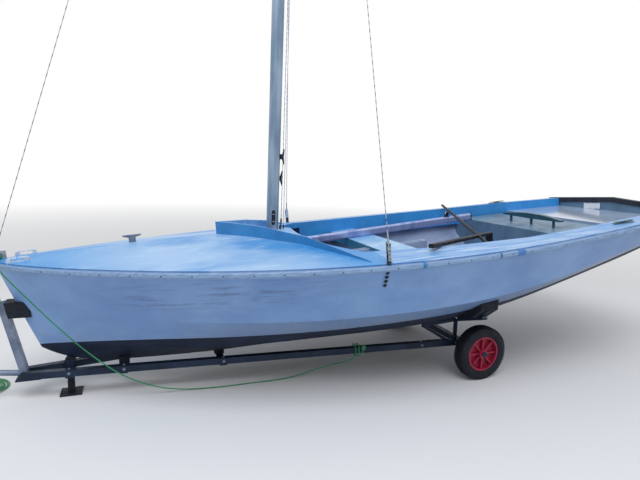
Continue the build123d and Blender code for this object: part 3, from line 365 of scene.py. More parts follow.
def deck_paint():
    """Sky-blue deck paint, brushed on: chalky white bloom, a pale patch on the foredeck that is
    painted sky reflection over the bloom, rubbed streaks that run fore and aft, and a soft shine
    broken by brush marks."""
    material, tree, place, (bloom, streaks, specks, brushed) = start_finish(
        "sky_blue_deck_paint",
        True,
        ((620, 380, 300), 3, 0.55),
        ((210, 26, 60), 6, 0.65),
        ((9, 9, 9), 2, 0.55),
        ((160, 3, 3), 2, 0.55),
    )
    faded = node(tree, "MapRange", {0: bloom, 1: 0.36, 2: 0.64})
    blue = {0: faded, 6: linear("#378acf"), 7: linear("#5f9fda")}
    blue = node(tree, "Mix", blue, data_type="RGBA")
    along = node(tree, "SeparateXYZ", {0: place}).outputs["X"]
    fore_of_mast = node(tree, "MapRange", {0: along, 1: 2.9, 2: 3.3})
    aft_of_bow = node(tree, "MapRange", {0: along, 1: 4.4, 2: 3.9})
    middle = node(tree, "Math", {0: fore_of_mast, 1: aft_of_bow}, operation="MULTIPLY")
    # Painted reflection: a pale patch of sky light on the foredeck, mottled by the bloom.
    bloom_and_painted_reflection = node(tree, "MapRange", {0: bloom, 1: 0.30, 2: 0.56, 4: 0.7})
    bloom_and_painted_reflection = node(tree, "Math", {0: middle, 1: bloom_and_painted_reflection}, operation="MULTIPLY")
    blue = node(tree, "Mix", {0: bloom_and_painted_reflection, 6: blue, 7: linear("#a9c6e6")}, data_type="RGBA")
    rubbed = node(tree, "MapRange", {0: streaks, 1: 0.57, 2: 0.68})
    where = node(tree, "MapRange", {0: middle, 1: 0, 2: 1, 3: 0.2, 4: 0.8})
    rubbed = node(tree, "Math", {0: rubbed, 1: where}, operation="MULTIPLY")
    blue = node(tree, "Mix", {0: rubbed, 6: blue, 7: linear("#bcd3ec")}, data_type="RGBA")
    chips = node(tree, "MapRange", {0: specks, 1: 0.68, 2: 0.74, 4: 0.5})
    blue = node(tree, "Mix", {0: chips, 6: blue, 7: linear("#d6e5f3")}, data_type="RGBA")
    brush_marks = {"Height": brushed, "Distance": 0.25 * MM, "Strength": 0.5}
    shader = node(
        tree,
        "BsdfPrincipled",
        {
            "Base Color": blue,
            "Roughness": node(tree, "MapRange", {0: streaks, 1: 0.4, 2: 0.7, 3: 0.38, 4: 0.55}),
            "Normal": node(tree, "Bump", brush_marks),
            "Specular IOR Level": 0.35,
            "Coat Weight": 0.05,
            "Coat Roughness": 0.15,
        },
    )
    node(tree, "OutputMaterial", {"Surface": shader})
    return material


def side_deck_paint():
    """The same blue on the side decks, where sitting has worn it to a streaky pale blue and
    white."""
    material, tree, _, (streaks, patches, spots) = start_finish(
        "worn_side_deck_paint",
        True,
        ((340, 22, 60), 7, 0.6),
        ((240, 90, 90), 4, 0.55),
        ((34, 14, 14), 4, 0.55),
    )
    faded = node(tree, "MapRange", {0: streaks, 1: 0.40, 2: 0.60})
    blue = {0: faded, 6: linear("#5794d2"), 7: linear("#86aedc")}
    blue = node(tree, "Mix", blue, data_type="RGBA")
    sat_on = node(tree, "MapRange", {0: patches, 1: 0.46, 2: 0.60})
    white = node(tree, "MapRange", {0: streaks, 1: 0.42, 2: 0.58})
    white = node(tree, "Math", {0: sat_on, 1: white}, operation="MULTIPLY")
    blue = node(tree, "Mix", {0: white, 6: blue, 7: linear("#aec5e4")}, data_type="RGBA")
    grime = node(tree, "MapRange", {0: spots, 1: 0.64, 2: 0.78, 4: 0.45})
    blue = node(tree, "Mix", {0: grime, 6: blue, 7: linear("#6e83a0")}, data_type="RGBA")
    shader = node(
        tree,
        "BsdfPrincipled",
        {
            "Base Color": blue,
            "Roughness": node(tree, "MapRange", {0: patches, 1: 0.4, 2: 0.6, 3: 0.34, 4: 0.50}),
            "Normal": node(
                tree, "Bump", {"Height": streaks, "Distance": 0.5 * MM, "Strength": 0.5}
            ),
        },
    )
    node(tree, "OutputMaterial", {"Surface": shader})
    return material


# Marks along the port rubbing strake, from and to: two places touched up in blue, and an open
# joint.
STRAKE_MARKS = (
    (2.545, 2.568, "#2f76ae"),
    (1.885, 1.945, "#3872b4"),
    (2.062, 2.073, "#27405f"),
)
MARK_EDGE = 0.002


def strake_paint():
    """Painted hardwood strake: chalky white rubbed back to grey, with fine cracks along the
    grain, and the marks of the port side."""
    material, tree, place, (rubs, splits) = start_finish(
        "worn_white_strake_paint", True, ((130, 12, 12), 7, 0.65), ((90, 2.2, 2.2), 2, 0.55)
    )
    parts = node(tree, "SeparateXYZ", {0: place}).outputs
    worn = node(tree, "MapRange", {0: rubs, 1: 0.42, 2: 0.62})
    white = {0: worn, 6: linear("#809fc6"), 7: linear("#6d8ab0")}
    white = node(tree, "Mix", white, data_type="RGBA")
    cracks = node(tree, "MapRange", {0: splits, 1: 0.66, 2: 0.72, 4: 0.4})
    white = node(tree, "Mix", {0: cracks, 6: white, 7: linear("#66738a")}, data_type="RGBA")
    port = node(tree, "MapRange", {0: parts["Y"], 1: 0.0, 2: 0.01})
    for start, stop, colour in STRAKE_MARKS:
        ahead = {0: parts["X"], 1: start - MARK_EDGE, 2: start + MARK_EDGE}
        behind = {0: parts["X"], 1: stop + MARK_EDGE, 2: stop - MARK_EDGE}
        ends = {0: node(tree, "MapRange", ahead), 1: node(tree, "MapRange", behind)}
        inside = node(tree, "Math", ends, operation="MULTIPLY")
        mark = node(tree, "Math", {0: inside, 1: port}, operation="MULTIPLY")
        white = node(tree, "Mix", {0: mark, 6: white, 7: linear(colour)}, data_type="RGBA")
    shader = node(
        tree,
        "BsdfPrincipled",
        {
            "Base Color": white,
            "Roughness": node(tree, "MapRange", {0: rubs, 1: 0.4, 2: 0.6, 3: 0.38, 4: 0.60}),
            "Normal": node(tree, "Bump", {"Height": splits, "Distance": 0.3 * MM, "Strength": 0.6}),
        },
    )
    node(tree, "OutputMaterial", {"Surface": shader})
    return material


def anodised_aluminium(name, light, dark):
    """Extruded and anodised aluminium: a dull satin metal with grey tide marks and with the
    die's lines along its length, drawn coarser than the real ones so that they show."""
    material, tree, _, (marks, lines) = start_finish(
        name, False, ((60, 60, 380), 5, 0.55), ((1.6, 1.6, 600), 2, 0.55)
    )
    tide = node(tree, "MapRange", {0: marks, 1: 0.40, 2: 0.66})
    colour = node(tree, "Mix", {0: tide, 6: linear(light), 7: linear(dark)}, data_type="RGBA")
    shader = node(
        tree,
        "BsdfPrincipled",
        {
            "Base Color": colour,
            "Roughness": node(tree, "MapRange", {0: marks, 1: 0.35, 2: 0.65, 3: 0.30, 4: 0.46}),
            "Normal": node(tree, "Bump", {"Height": lines, "Distance": 0.05 * MM, "Strength": 0.5}),
            "Metallic": 0.75,
        },
    )
    node(tree, "OutputMaterial", {"Surface": shader})
    return material


WIRE_LAY_MM = 9


def laid_wire():
    """Stainless wire rope: bright strands with dark lines between them, the painted shade of the
    grooves, drawn coarser than the real 1 mm strands so that they show."""
    material, tree, place, _ = start_finish("stainless_wire_rope", False)
    turns = 1 / (WIRE_LAY_MM * MM) / (2 * pi)
    feed = {"Vector": place, "Scale": turns, "Distortion": 0.0}
    strand = node(tree, "TexWave", feed, bands_direction="DIAGONAL").outputs["Fac"]
    bright = node(tree, "MapRange", {0: strand, 1: 0.1, 2: 0.6})
    # Painted shade: the grooves between strands take the dark grey.
    colour = {0: bright, 6: linear("#4a525c"), 7: linear("#a9b1b8")}
    shader = node(
        tree,
        "BsdfPrincipled",
        {
            "Base Color": node(tree, "Mix", colour, data_type="RGBA"),
            "Roughness": 0.38,
            "Normal": node(tree, "Bump", {"Height": strand, "Distance": 0.4 * MM, "Strength": 0.6}),
            "Metallic": 1.0,
        },
    )
    node(tree, "OutputMaterial", {"Surface": shader})
    return material


def rope_fibre():
    """Laid polypropylene rope: bright green plastic fibre with a silky shine, faded and
    soiled in lengths. Its fibres are drawn coarser than the real ones so that they show."""
    material, tree, _, (fade, fibre) = start_finish(
        "green_polypropylene_rope", False, ((140, 140, 140), 3, 0.55), ((1.4, 1.4, 1.4), 2, 0.55)
    )
    faded = node(tree, "MapRange", {0: fade, 1: 0.38, 2: 0.62})
    green = {0: faded, 6: linear("#187d4a"), 7: linear("#279561")}
    green = node(tree, "Mix", green, data_type="RGBA")
    soil = node(tree, "MapRange", {0: fibre, 1: 0.52, 2: 0.72, 4: 0.45})
    green = node(tree, "Mix", {0: soil, 6: green, 7: linear("#12663a")}, data_type="RGBA")
    shader = node(
        tree,
        "BsdfPrincipled",
        {
            "Base Color": green,
            "Roughness": 0.48,
            "Normal": node(tree, "Bump", {"Height": fibre, "Distance": 0.25 * MM, "Strength": 0.6}),
            "Sheen Weight": 0.15,
        },
    )
    node(tree, "OutputMaterial", {"Surface": shader})
    return material


def stage_material(name, colour, fade_from, fade_to):
    """Pale matt floor that goes over to plain white with distance, seen directly, in gloss
    and through glass, and keeps the object's shadow near it."""
    material, tree, place, _ = start_finish(name, False)
    seen = node(tree, "LightPath").outputs
    shown = {0: seen["Is Camera Ray"], 1: seen["Is Glossy Ray"]}
    shown = node(tree, "Math", shown, operation="MAXIMUM")
    shown = {0: shown, 1: seen["Is Transmission Ray"]}
    shown = node(tree, "Math", shown, operation="MAXIMUM")
    far = node(tree, "VectorMath", {0: place}, operation="LENGTH")
    fade = node(tree, "MapRange", {0: far, 1: fade_from, 2: fade_to})
    fade = node(tree, "Math", {0: fade, 1: shown}, operation="MULTIPLY")
    matt = node(tree, "BsdfDiffuse", {"Color": linear(colour)})
    white = node(tree, "Emission", {"Color": (1, 1, 1, 1), "Strength": 1.0})
    both = node(tree, "MixShader", {0: fade, 1: matt, 2: white})
    node(tree, "OutputMaterial", {"Surface": both})
    return material


finish = {
    "hull": hull_gelcoat(),
    "deck": deck_paint(),
    "side_deck": side_deck_paint(),
    "strake": strake_paint(),
    # Cockpit paint: flat pale grey with scuffs and damp patches.
    "cockpit": weathered(
        "grey_cockpit_paint", "#94a6c8", "#6f80a2", "#b0bed8",
        Weather(210, 12, 0.7, 0.6, (0.42, 0.62), 0.3),
    ),
    # Aft bulkhead, shelf and the transom's forward face: the same paint, greener and darkened as
    # painted shade.
    "shelf": weathered(
        "locker_paint_in_painted_shade", "#62829e", "#4c687f", "#86a0b6",
        Weather(190, 14, 0.7, 0.5, (0.34, 0.52), 0.25),
    ),
    # Inner faces: the deeper blue of the first coat, less faded than the deck.
    "inner": weathered(
        "mid_blue_paint", "#348fd8", "#2a78be", "#6fb0e4",
        Weather(180, 14, 0.7, 0.5, (0.30, 0.45), 0.25), coat=0.15,
    ),
    # Breakwater faces: brushed blue gloss, scratched.
    "water": weathered(
        "brushed_blue_gloss", "#2f82be", "#256ca6", "#5aa2d4",
        Weather(160, 9, 0.7, 0.4, (0.22, 0.36), 0.25), coat=0.3,
    ),
    # Top faces of the breakwater: pale blue and white, a painted highlight of the sky on them.
    "edge": weathered(
        "pale_edge_with_painted_highlight", "#8fbdea", "#6aa3dc", "#cfe0f2",
        Weather(60, 6, 0.8, 0.8, (0.30, 0.5), 0.2),
    ),
    # Thwart front: teal paint.
    "teal": weathered(
        "teal_paint", "#3f8fb4", "#2c6c8e", "#84b9cf",
        Weather(120, 8, 0.6, 0.5, (0.28, 0.42), 0.2), coat=0.2,
    ),
    # Thwart top: pale blue, with white patches that are painted sky reflection.
    "thwart": weathered(
        "pale_blue_seat_paint", "#86bce8", "#5f9fd6", "#dbe8f4",
        Weather(150, 16, 0.8, 0.9, (0.25, 0.4), 0.25), coat=0.2,
    ),
    # Stern deck: smooth glossy paint that mirrors what stands over it.
    "gloss": weathered(
        "glossy_pale_paint", "#b2c3dd", "#93a9c9", "#cfdaea",
        Weather(260, 30, 0.6, 0.4, (0.06, 0.14), 0.1), coat=0.5,
    ),
    # Traveller beam and jam cleats: dark teal paint, rubbed at the edges.
    "beam": weathered(
        "dark_teal_paint", "#1f4f63", "#173b4c", "#4e8193",
        Weather(90, 6, 0.6, 0.6, (0.3, 0.45), 0.2), coat=0.15,
    ),
    # Transom cap: dark oiled hardwood, weathered grey in places.
    "hardwood": weathered(
        "dark_oiled_hardwood", "#2b2f3c", "#1c202a", "#4d5361",
        Weather(70, 3, 0.7, 0.6, (0.45, 0.65), 0.4), shine=0.25,
    ),
    # Tiller: varnished wood gone dark.
    "tiller": weathered(
        "dark_varnished_wood", "#121822", "#0b0f16", "#28323f",
        Weather(60, 3, 0.7, 0.5, (0.45, 0.62), 0.3), shine=0.25,
    ),
    # Moulded white plastic, chalky.
    "plastic": weathered(
        "chalky_white_plastic", "#c6d2e2", "#97a5b8", "#e2e9f1",
        Weather(40, 4, 0.6, 0.5, (0.35, 0.5), 0.1),
    ),
    # Black moulded plastic of cleats and blocks, greyed by the sun.
    "black": weathered(
        "greyed_black_plastic", "#1b222d", "#10151d", "#3a4350",
        Weather(30, 4, 0.6, 0.5, (0.4, 0.55), 0.1), shine=0.25,
    ),
    # Stainless steel: polished, dulled by salt.
    "stainless": weathered(
        "salt_dulled_stainless", "#9aa4af", "#6f7a86", "#c2c9d0",
        Weather(30, 3, 0.7, 0.5, (0.28, 0.42), 0.08), metallic=0.9,
    ),
    # Tarnished bronze or dark steel of old bolts.
    "bolt": weathered(
        "tarnished_bolt", "#3a4350", "#1e242d", "#66707c",
        Weather(12, 2, 0.7, 0.5, (0.4, 0.6), 0.2), metallic=0.7,
    ),
    # Hot-dip galvanised steel: grey spangle, white rust in patches.
    "galvanised": weathered(
        "galvanised_steel", "#76839a", "#56627a", "#a3aec0",
        Weather(60, 11, 0.7, 0.7, (0.42, 0.6), 0.2), metallic=0.55,
    ),
    # Trolley bars: dark paint, chalked, with small chips down to rust-brown and grey.
    "frame": weathered(
        "dark_blue_grey_frame_paint", "#1a2940", "#111b2b", "#3d5069",
        Weather(110, 7, 0.7, 0.7, (0.42, 0.6), 0.25), metallic=0.2, shine=0.3,
    ),
    # Black rubber of pads, roller and snubber.
    "rubber": weathered(
        "weathered_black_rubber", "#171d28", "#0d1119", "#3a4250",
        Weather(50, 3, 0.6, 0.5, (0.6, 0.8), 0.3), shine=0.25,
    ),
    # Tyre: black rubber with dust on it.
    "tyre": weathered(
        "dusty_tyre_rubber", "#161b24", "#0c1016", "#343c48",
        Weather(70, 3, 0.5, 0.45, (0.62, 0.8), 0.25), shine=0.25,
    ),
    # Wheel centre: moulded red plastic, faded to a dull pinkish bloom.
    "hub": weathered(
        "moulded_red_plastic", "#98183a", "#6a112e", "#b83a5c",
        Weather(40, 5, 0.6, 0.4, (0.35, 0.5), 0.1),
    ),
    # Blank card: white plastic sheet.
    "card": weathered(
        "blank_white_sheet", "#e8edf3", "#cfd7e1", "#f7f9fb",
        Weather(50, 9, 0.5, 0.4, (0.3, 0.4), 0.05),
    ),
    "mast": anodised_aluminium("grey_anodised_aluminium", "#8fa3b8", "#6d8299"),
    "boom": anodised_aluminium("pale_anodised_aluminium", "#aab8e4", "#8294c8"),
    "wire": laid_wire(),
    "rope": rope_fibre(),
}


# Mesh building.
def piece(name, bm, material, body=STAND, bevel_mm=0.0, angle=35):
    """An object made from a bmesh in the row frame, riding on a body."""
    mesh = bpy.data.meshes.new(name)
    bmesh.ops.recalc_face_normals(bm, faces=bm.faces)
    bm.to_mesh(mesh)
    bm.free()
    mesh.shade_smooth()
    mesh.set_sharp_from_angle(angle=radians(angle))
    mesh.materials.append(finish[material])
    made = bpy.data.objects.new(name, mesh)
    bpy.context.scene.collection.objects.link(made)
    if bevel_mm:
        bevel = made.modifiers.new("rounded_edges", "BEVEL")
        bevel.width = bevel_mm * MM
        bevel.segments = 2
        bevel.limit_method = "ANGLE"
        bevel.angle_limit = radians(40)
    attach(made, body)
    return made


def facing(at, normal, up=Vector((0, 0, 1))):
    """Matrix whose Z is the normal and whose Y leans towards up."""
    z = Vector(normal).normalized()
    if abs(z.dot(up)) > 0.98:
        up = Vector((1, 0, 0))
    x = Vector(up).cross(z).normalized()
    y = z.cross(x)
    return Matrix.Translation(at) @ Matrix((x, y, z)).transposed().to_4x4()


def add_box(bm, place, size, at=(0, 0, 0)):
    """Box of that size with its centre at a point of the placing matrix."""
    bmesh.ops.create_cube(
        bm, size=1, matrix=place @ Matrix.Translation(at) @ Matrix.Diagonal((*size, 1))
    )


def add_lathe(bm, place, profile, steps=24, closed=False):
    """Turned form about the placing matrix's Z, from (radius, height) points."""
    turns = [2 * pi * i / steps for i in range(steps)]
    rings = []
    for radius, height in profile:
        if radius < 1e-6:
            rings.append([bm.verts.new(place @ Vector((0, 0, height)))] * steps)
            continue
        rings.append([
            bm.verts.new(place @ Vector((radius * cos(turn), radius * sin(turn), height)))
            for turn in turns
        ])
    pairs = list(zip(rings, rings[1:]))
    if closed:
        pairs.append((rings[-1], rings[0]))
    for low, high in pairs:
        for i in range(steps):
            j = (i + 1) % steps
            corners = []
            for corner in (low[i], low[j], high[j], high[i]):
                if corner not in corners:
                    corners.append(corner)
            if len(corners) > 2:
                bm.faces.new(corners)


def add_prism(bm, place, outline, depth):
    """Flat form with that outline in the matrix's XY plane, from Z = 0 to the depth."""
    low = [bm.verts.new(place @ Vector((x, y, 0))) for x, y in outline]
    high = [bm.verts.new(place @ Vector((x, y, depth))) for x, y in outline]
    bm.faces.new(low[::-1])
    bm.faces.new(high)
    for i in range(len(outline)):
        j = (i + 1) % len(outline)
        bm.faces.new((low[i], low[j], high[j], high[i]))


def add_tube(bm, route, radius, sides=8, ends=True):
    """Round tube along a list of points."""
    turns = [2 * pi * k / sides for k in range(sides)]
    rings = []
    for centre, across, other in carried_frames(route):
        rings.append([
            bm.verts.new(centre + (across * cos(turn) + other * sin(turn)) * radius)
            for turn in turns
        ])
    for low, high in zip(rings, rings[1:]):
        for k in range(sides):
            j = (k + 1) % sides
            bm.faces.new((low[k], low[j], high[j], high[k]))
    if ends:
        bm.faces.new(rings[0][::-1])
        bm.faces.new(rings[-1])


def carried_frames(route):
    """Each point of a route with two directions square to it that don't twist along it."""
    points = [Vector(p) for p in route]
    across = None
    frames = []
    for i, point in enumerate(points):
        before = points[max(i - 1, 0)]
        after = points[min(i + 1, len(points) - 1)]
        along = (after - before).normalized()
        if across is None:
            across = along.orthogonal().normalized()
        across = (across - along * across.dot(along)).normalized()
        frames.append((point, across, along.cross(across)))
    return frames


def arc(centre, radius, start, stop, steps):
    """Points of an arc in a plane, angles in degrees."""
    return [
        (
            centre[0] + radius * cos(radians(start + (stop - start) * i / steps)),
            centre[1] + radius * sin(radians(start + (stop - start) * i / steps)),
        )
        for i in range(steps + 1)
    ]


def slot_outline(length, width):
    """Long round-ended outline along Y."""
    reach = (length - width) / 2
    return arc((0, reach), width / 2, 0, 180, 6) + arc((0, -reach), width / 2, 180, 360, 6)


skins = {}


def skin(name, start, towards):
    """Point and normal, in the row frame, where a ray in the boat's frame meets a CAD node."""
    if name not in skins:
        mesh = nodes[name].data
        skins[name] = BVHTree.FromPolygons(
            [v.co for v in mesh.vertices], [p.vertices for p in mesh.polygons]
        )
    origin = BOAT @ Vector(start)
    direction = (BOAT @ Vector(towards) - origin).normalized()
    hit, normal, _, _ = skins[name].ray_cast(origin, direction)
    if hit is None:
        return None
    if normal.dot(direction) > 0:
        normal = -normal
    return hit, normal


def dress(name, *rules):
    """Give a CAD node its finishes: the first rule whose test a face passes, by its middle
    and normal in the boat's frame, or the last rule where none does."""
    mesh = nodes[name].data
    mesh.materials.clear()
    for material, _ in rules:
        mesh.materials.append(finish[material])
    turn = TO_BOAT.to_3x3()
    for face in mesh.polygons:
        middle = TO_BOAT @ face.center
        normal = turn @ face.normal
        face.material_index = len(rules) - 1
        for i, (_, test) in enumerate(rules[:-1]):
            if test(middle, normal):
                face.material_index = i
                break


# Ropes.
def spline_route(name, points):
    """Points along the smooth curve that a rope's own control points make."""
    curve = bpy.data.curves.new(name, "CURVE")
    curve.dimensions = "3D"
    curve.resolution_u = 10
    spline = curve.splines.new("NURBS")
    spline.points.add(len(points) - 1)
    for control, point in zip(spline.points, points):
        control.co = (*point, 1)
    spline.order_u = 3
    spline.use_endpoint_u = True
    holder = bpy.data.objects.new(name, curve)
    bpy.context.scene.collection.objects.link(holder)
    bpy.context.view_layer.update()
    mesh = bpy.data.meshes.new_from_object(holder)
    route = [v.co.copy() for v in mesh.vertices]
    bpy.data.objects.remove(holder)
    bpy.data.curves.remove(curve)
    bpy.data.meshes.remove(mesh)
    return route


def evenly(route, step):
    """The same route with points a step apart."""
    spaced = [route[0]]
    need = step
    for a, b in zip(route, route[1:]):
        length = (b - a).length
        gone = 0.0
        while length - gone >= need:
            gone += need
            spaced.append(a.lerp(b, gone / length))
            need = step
        need -= length - gone
    if (route[-1] - spaced[-1]).length > step / 3:
        spaced.append(route[-1])
    return spaced


def laid_rope(name, route):
    """Three strands laid round each other along a route, each just touching the others."""
    strand_r = ROPE_D / 2 / (1 + 2 / 3**0.5)
    offset = ROPE_D / 2 - strand_r
    step = ROPE_LAY / STEPS_IN_A_LAY
    spaced = evenly(route, step)
    frames = carried_frames(spaced)
    bm = bmesh.new()
    for strand in range(3):
        path = []
        for i, (centre, across, other) in enumerate(frames):
            turn = 2 * pi * (i * step / ROPE_LAY + strand / 3)
            path.append(centre + (across * cos(turn) + other * sin(turn)) * offset)
        add_tube(bm, path, strand_r, sides=6)
    return piece(name, bm, "rope", angle=80), spaced


def knot(name, at, size):
    """Small round knot: rope wound twice round through itself, with three loops."""
    bm = bmesh.new()
    route = []
    for i in range(KNOT_STEPS + 1):
        t = 2 * pi * i / KNOT_STEPS
        swing = size * (1 + KNOT_SWING * cos(KNOT_LOOPS * t))
        route.append(Vector(at) + Vector((
            swing * cos(KNOT_WRAPS * t),
            size * KNOT_THICK * sin(KNOT_LOOPS * t),
            swing * sin(KNOT_WRAPS * t),
        )))
    add_tube(bm, route, ROPE_D * 0.5, sides=8, ends=False)
    return piece(name, bm, "rope", angle=80)


def coil_points():
    """Turns of the bow line's spare length, spiralling out over the part that comes in."""
    points = []
    steps = int(COIL_TURNS * COIL_STEPS)
    for i in range(COIL_FROM_STEP, steps + 1):
        turned = 2 * pi * i / COIL_STEPS
        wobble = COIL_WOBBLE * sin(COIL_WOBBLES * turned)
        wide = COIL_FIRST_R + COIL_PITCH * turned / (2 * pi) + wobble
        angle = COIL_ENTRY + turned
        from_entry = abs((turned + pi) % (2 * pi) - pi)
        over = i > COIL_STEPS / 2 and from_entry < COIL_CROSSING * 2 * pi / COIL_STEPS
        up = COIL_OVER if over else COIL_LIE
        points.append((COIL_AFT + wide * cos(angle), COIL_PORT + wide * sin(angle), up))
    return points


def make_ropes():
    """The painter tied off on the port bar, and the bow line with its spare length."""
    painter_points = [aft_point(*p) for p in PAINTER]
    painter, painter_path = laid_rope("painter", spline_route("painter_route", painter_points))
    start = knot("painter_knot", painter_points[0] + Vector((0, 0.012, 0)), 0.011)
    end = knot("painter_hitch", painter_points[-1] + Vector((0, 0, 0.004)), 0.009)
    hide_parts("painter_rope")
    line_points = [aft_point(*p) for p in (*BOW_LINE, *coil_points())]
    line, line_path = laid_rope("bow_line_rope", spline_route("bow_line_route", line_points))
    stop = knot("bow_line_stop_knot", line_points[-1] + Vector((0, 0, 0.013)), 0.008)
    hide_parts("bow_line", "bow_line_coil")


# Finishes of the CAD pieces. The parts of a normal below are cosines: 0.7 is within 45 degrees
# of looking straight that way.
TRANSOM_AFT_X = 0.03
TRANSOM_FORE_X = 0.06


def is_outside(middle, normal):
    """Whether a face of the hull looks outwards."""
    if middle.x < TRANSOM_AFT_X and abs(normal.x) > 0.8:
        return normal.x < 0
    side = 1 if middle.y > 0 else -1
    return side * normal.y - normal.z > 0


def is_top(middle, normal):
    """Whether a face looks up."""
    return normal.z > 0.7


def is_outboard(middle, normal):
    """Whether a face looks away from the middle line."""
    side = 1 if middle.y > 0 else -1
    return side * normal.y > 0.5


def is_lining(middle, normal):
    """Whether a side deck's face lines the cockpit."""
    side = 1 if middle.y > 0 else -1
    return side * normal.y < -0.5 or abs(normal.x) > 0.7


def is_above_strake(middle, normal):
    """Whether a face of a chainplate stands above the strake's middle."""
    return middle.z > sheer_z(middle.x) - STRAKE_MID


def is_aft_face(middle, normal):
    """Whether a face looks aft."""
    return normal.x < -0.3


def is_inner_transom(middle, normal):
    """Whether a face of the hull is the transom's forward one."""
    return middle.x < TRANSOM_FORE_X and normal.x > 0.8


ONE_FINISH = {
    "rubbing_strake_port": "strake",
    "rubbing_strake_starboard": "strake",
    "bow_fairlead_port": "plastic",
    "bow_fairlead_starboard": "plastic",
    "shroud_port": "wire",
    "shroud_starboard": "wire",
    "forestay": "wire",
    "transom_cap": "hardwood",
    "centreboard_case": "cockpit",
    "sole": "cockpit",
    "aft_bulkhead": "shelf",
    "traveller_beam": "beam",
    "stemhead_fitting": "stainless",
    "deck_cleat": "galvanised",
    "mast": "mast",
    "boom": "boom",
    "tiller": "tiller",
    "tiller_extension": "tiller",
    "rudder_strap": "stainless",
    "rudder_gudgeons": "stainless",
    "trolley_frame": "frame",
    "cradle_arm_port": "frame",
    "cradle_arm_starboard": "frame",
    "cradle_pad_port": "rubber",
    "cradle_pad_starboard": "rubber",
    "prop_foot": "rubber",
    "keel_roller": "rubber",
    "keel_blocks": "rubber",
    "bow_post": "galvanised",
    "bow_snubber": "rubber",
    "drawbar_handle": "galvanised",
    "hub_port": "hub",
    "hub_starboard": "hub",
}


def dress_cad_pieces():
    """Give each carried-over CAD node its finish."""
    for name, material in ONE_FINISH.items():
        dress(name, (material, None))
    # The transom's forward face takes the shelf's finish, darkened as painted shade.
    dress("hull", ("hull", is_outside), ("shelf", is_inner_transom), ("cockpit", None))
    dress("foredeck", ("deck", is_top), ("deck", is_outboard), ("inner", None))
    for side in SIDES:
        dress(
            f"side_deck_{side.name}",
            ("side_deck", is_top),
            ("side_deck", is_outboard),
            ("inner", is_lining),
            ("cockpit", None),
        )
        dress(f"chainplate_{side.name}", ("bolt", is_above_strake), ("hull", None))
    # The breakwater's up-facing faces take the finish with the painted sky highlight.
    dress("breakwater", ("edge", is_top), ("deck", is_aft_face), ("water", None))
    # The thwart's up-facing faces take the finish with painted sky reflection.
    dress("thwart", ("thwart", is_top), ("teal", None))
    dress("stern_deck", ("gloss", is_top), ("cockpit", None))


# Small fastenings along the hull.
SHEER_X = (0.0, 0.6, 1.2, 1.8, 2.4, 3.0, 3.55, 4.05, 4.485)
SHEER_Z = (0.622, 0.625, 0.624, 0.630, 0.645, 0.668, 0.698, 0.730, 0.760)
SHEER_END_RISE = 0.078
STRAKE_MID = 0.0165
SCREW_STEP = 0.145
SCREW_FROM = 0.10
SCREW_TO = 4.55
SCREW_R = 0.0038
CHAIN_X = 2.750
CHAIN_CLEAR = 0.04
BOLT_DROPS = (0.0455, 0.0715, 0.0975, 0.1235)
BOLT_R = 0.0076
GUDGEON_BOLT_UPS = (0.190, 0.255, 0.300, 0.360, 0.420, 0.500)
GUDGEON_BOLT_R = 0.005
# Turned outlines as (radius, height) in multiples of a fastening's own radius.
SCREW_HEAD = ((1.0, -0.3), (1.0, 0.1), (0.7, 0.32), (0, 0.4))
WASHER = ((0, 0), (1.5, 0), (1.5, 0.25), (0, 0.25))
NUT = ((0.95, 0.2), (0.95, 0.9), (0.6, 1.25), (0, 1.4))


def sheer_z(x):
    """Height of the deck edge at a boat X, straight between the hull's sections."""
    for i in range(len(SHEER_X) - 1):
        if x <= SHEER_X[i + 1]:
            t = (x - SHEER_X[i]) / (SHEER_X[i + 1] - SHEER_X[i])
            return SHEER_Z[i] + (SHEER_Z[i + 1] - SHEER_Z[i]) * t
    return SHEER_Z[-1] + (x - SHEER_X[-1]) * SHEER_END_RISE


def add_head(bm, at, normal, radius, shape, steps):
    """Turned head of a fastening, standing on a face."""
    profile = [(radius * across, radius * up) for across, up in shape]
    add_lathe(bm, facing(at, normal), profile, steps=steps)


def add_screw(bm, at, normal, radius):
    """Low round screw head."""
    add_head(bm, at, normal, radius, SCREW_HEAD, 10)


def add_bolt(bm, at, normal, radius):
    """Washer with a domed nut on it."""
    add_head(bm, at, normal, radius, WASHER, 16)
    add_head(bm, at, normal, radius, NUT, 6)


def make_hull_fastenings():
    """Screws along the strakes, chainplate bolts and gudgeon bolts."""
    for side in SIDES:
        bm = bmesh.new()
        x = SCREW_FROM
        while x < SCREW_TO:
            z = sheer_z(x) - STRAKE_MID
            found = skin(f"rubbing_strake_{side.name}", (x, side.sign * 2, z), (x, 0, z))
            if found and abs(x - CHAIN_X) > CHAIN_CLEAR:
                add_screw(bm, *found, SCREW_R)
            x += SCREW_STEP
        piece(f"strake_screws_{side.name}", bm, "bolt")
        bm = bmesh.new()
        for drop in BOLT_DROPS:
            z = sheer_z(CHAIN_X) - drop
            route = (CHAIN_X, side.sign * 2, z), (CHAIN_X, 0, z)
            found = skin(f"chainplate_{side.name}", *route) or skin("hull", *route)
            if found:
                add_bolt(bm, *found, BOLT_R)
        piece(f"chainplate_bolts_{side.name}", bm, "bolt")
    bm = bmesh.new()
    for z in GUDGEON_BOLT_UPS:
        found = skin("rudder_strap", (-1, 0, z), (1, 0, z))
        if found:
            add_bolt(bm, *found, GUDGEON_BOLT_R)
    piece("gudgeon_bolts", bm, "stainless")


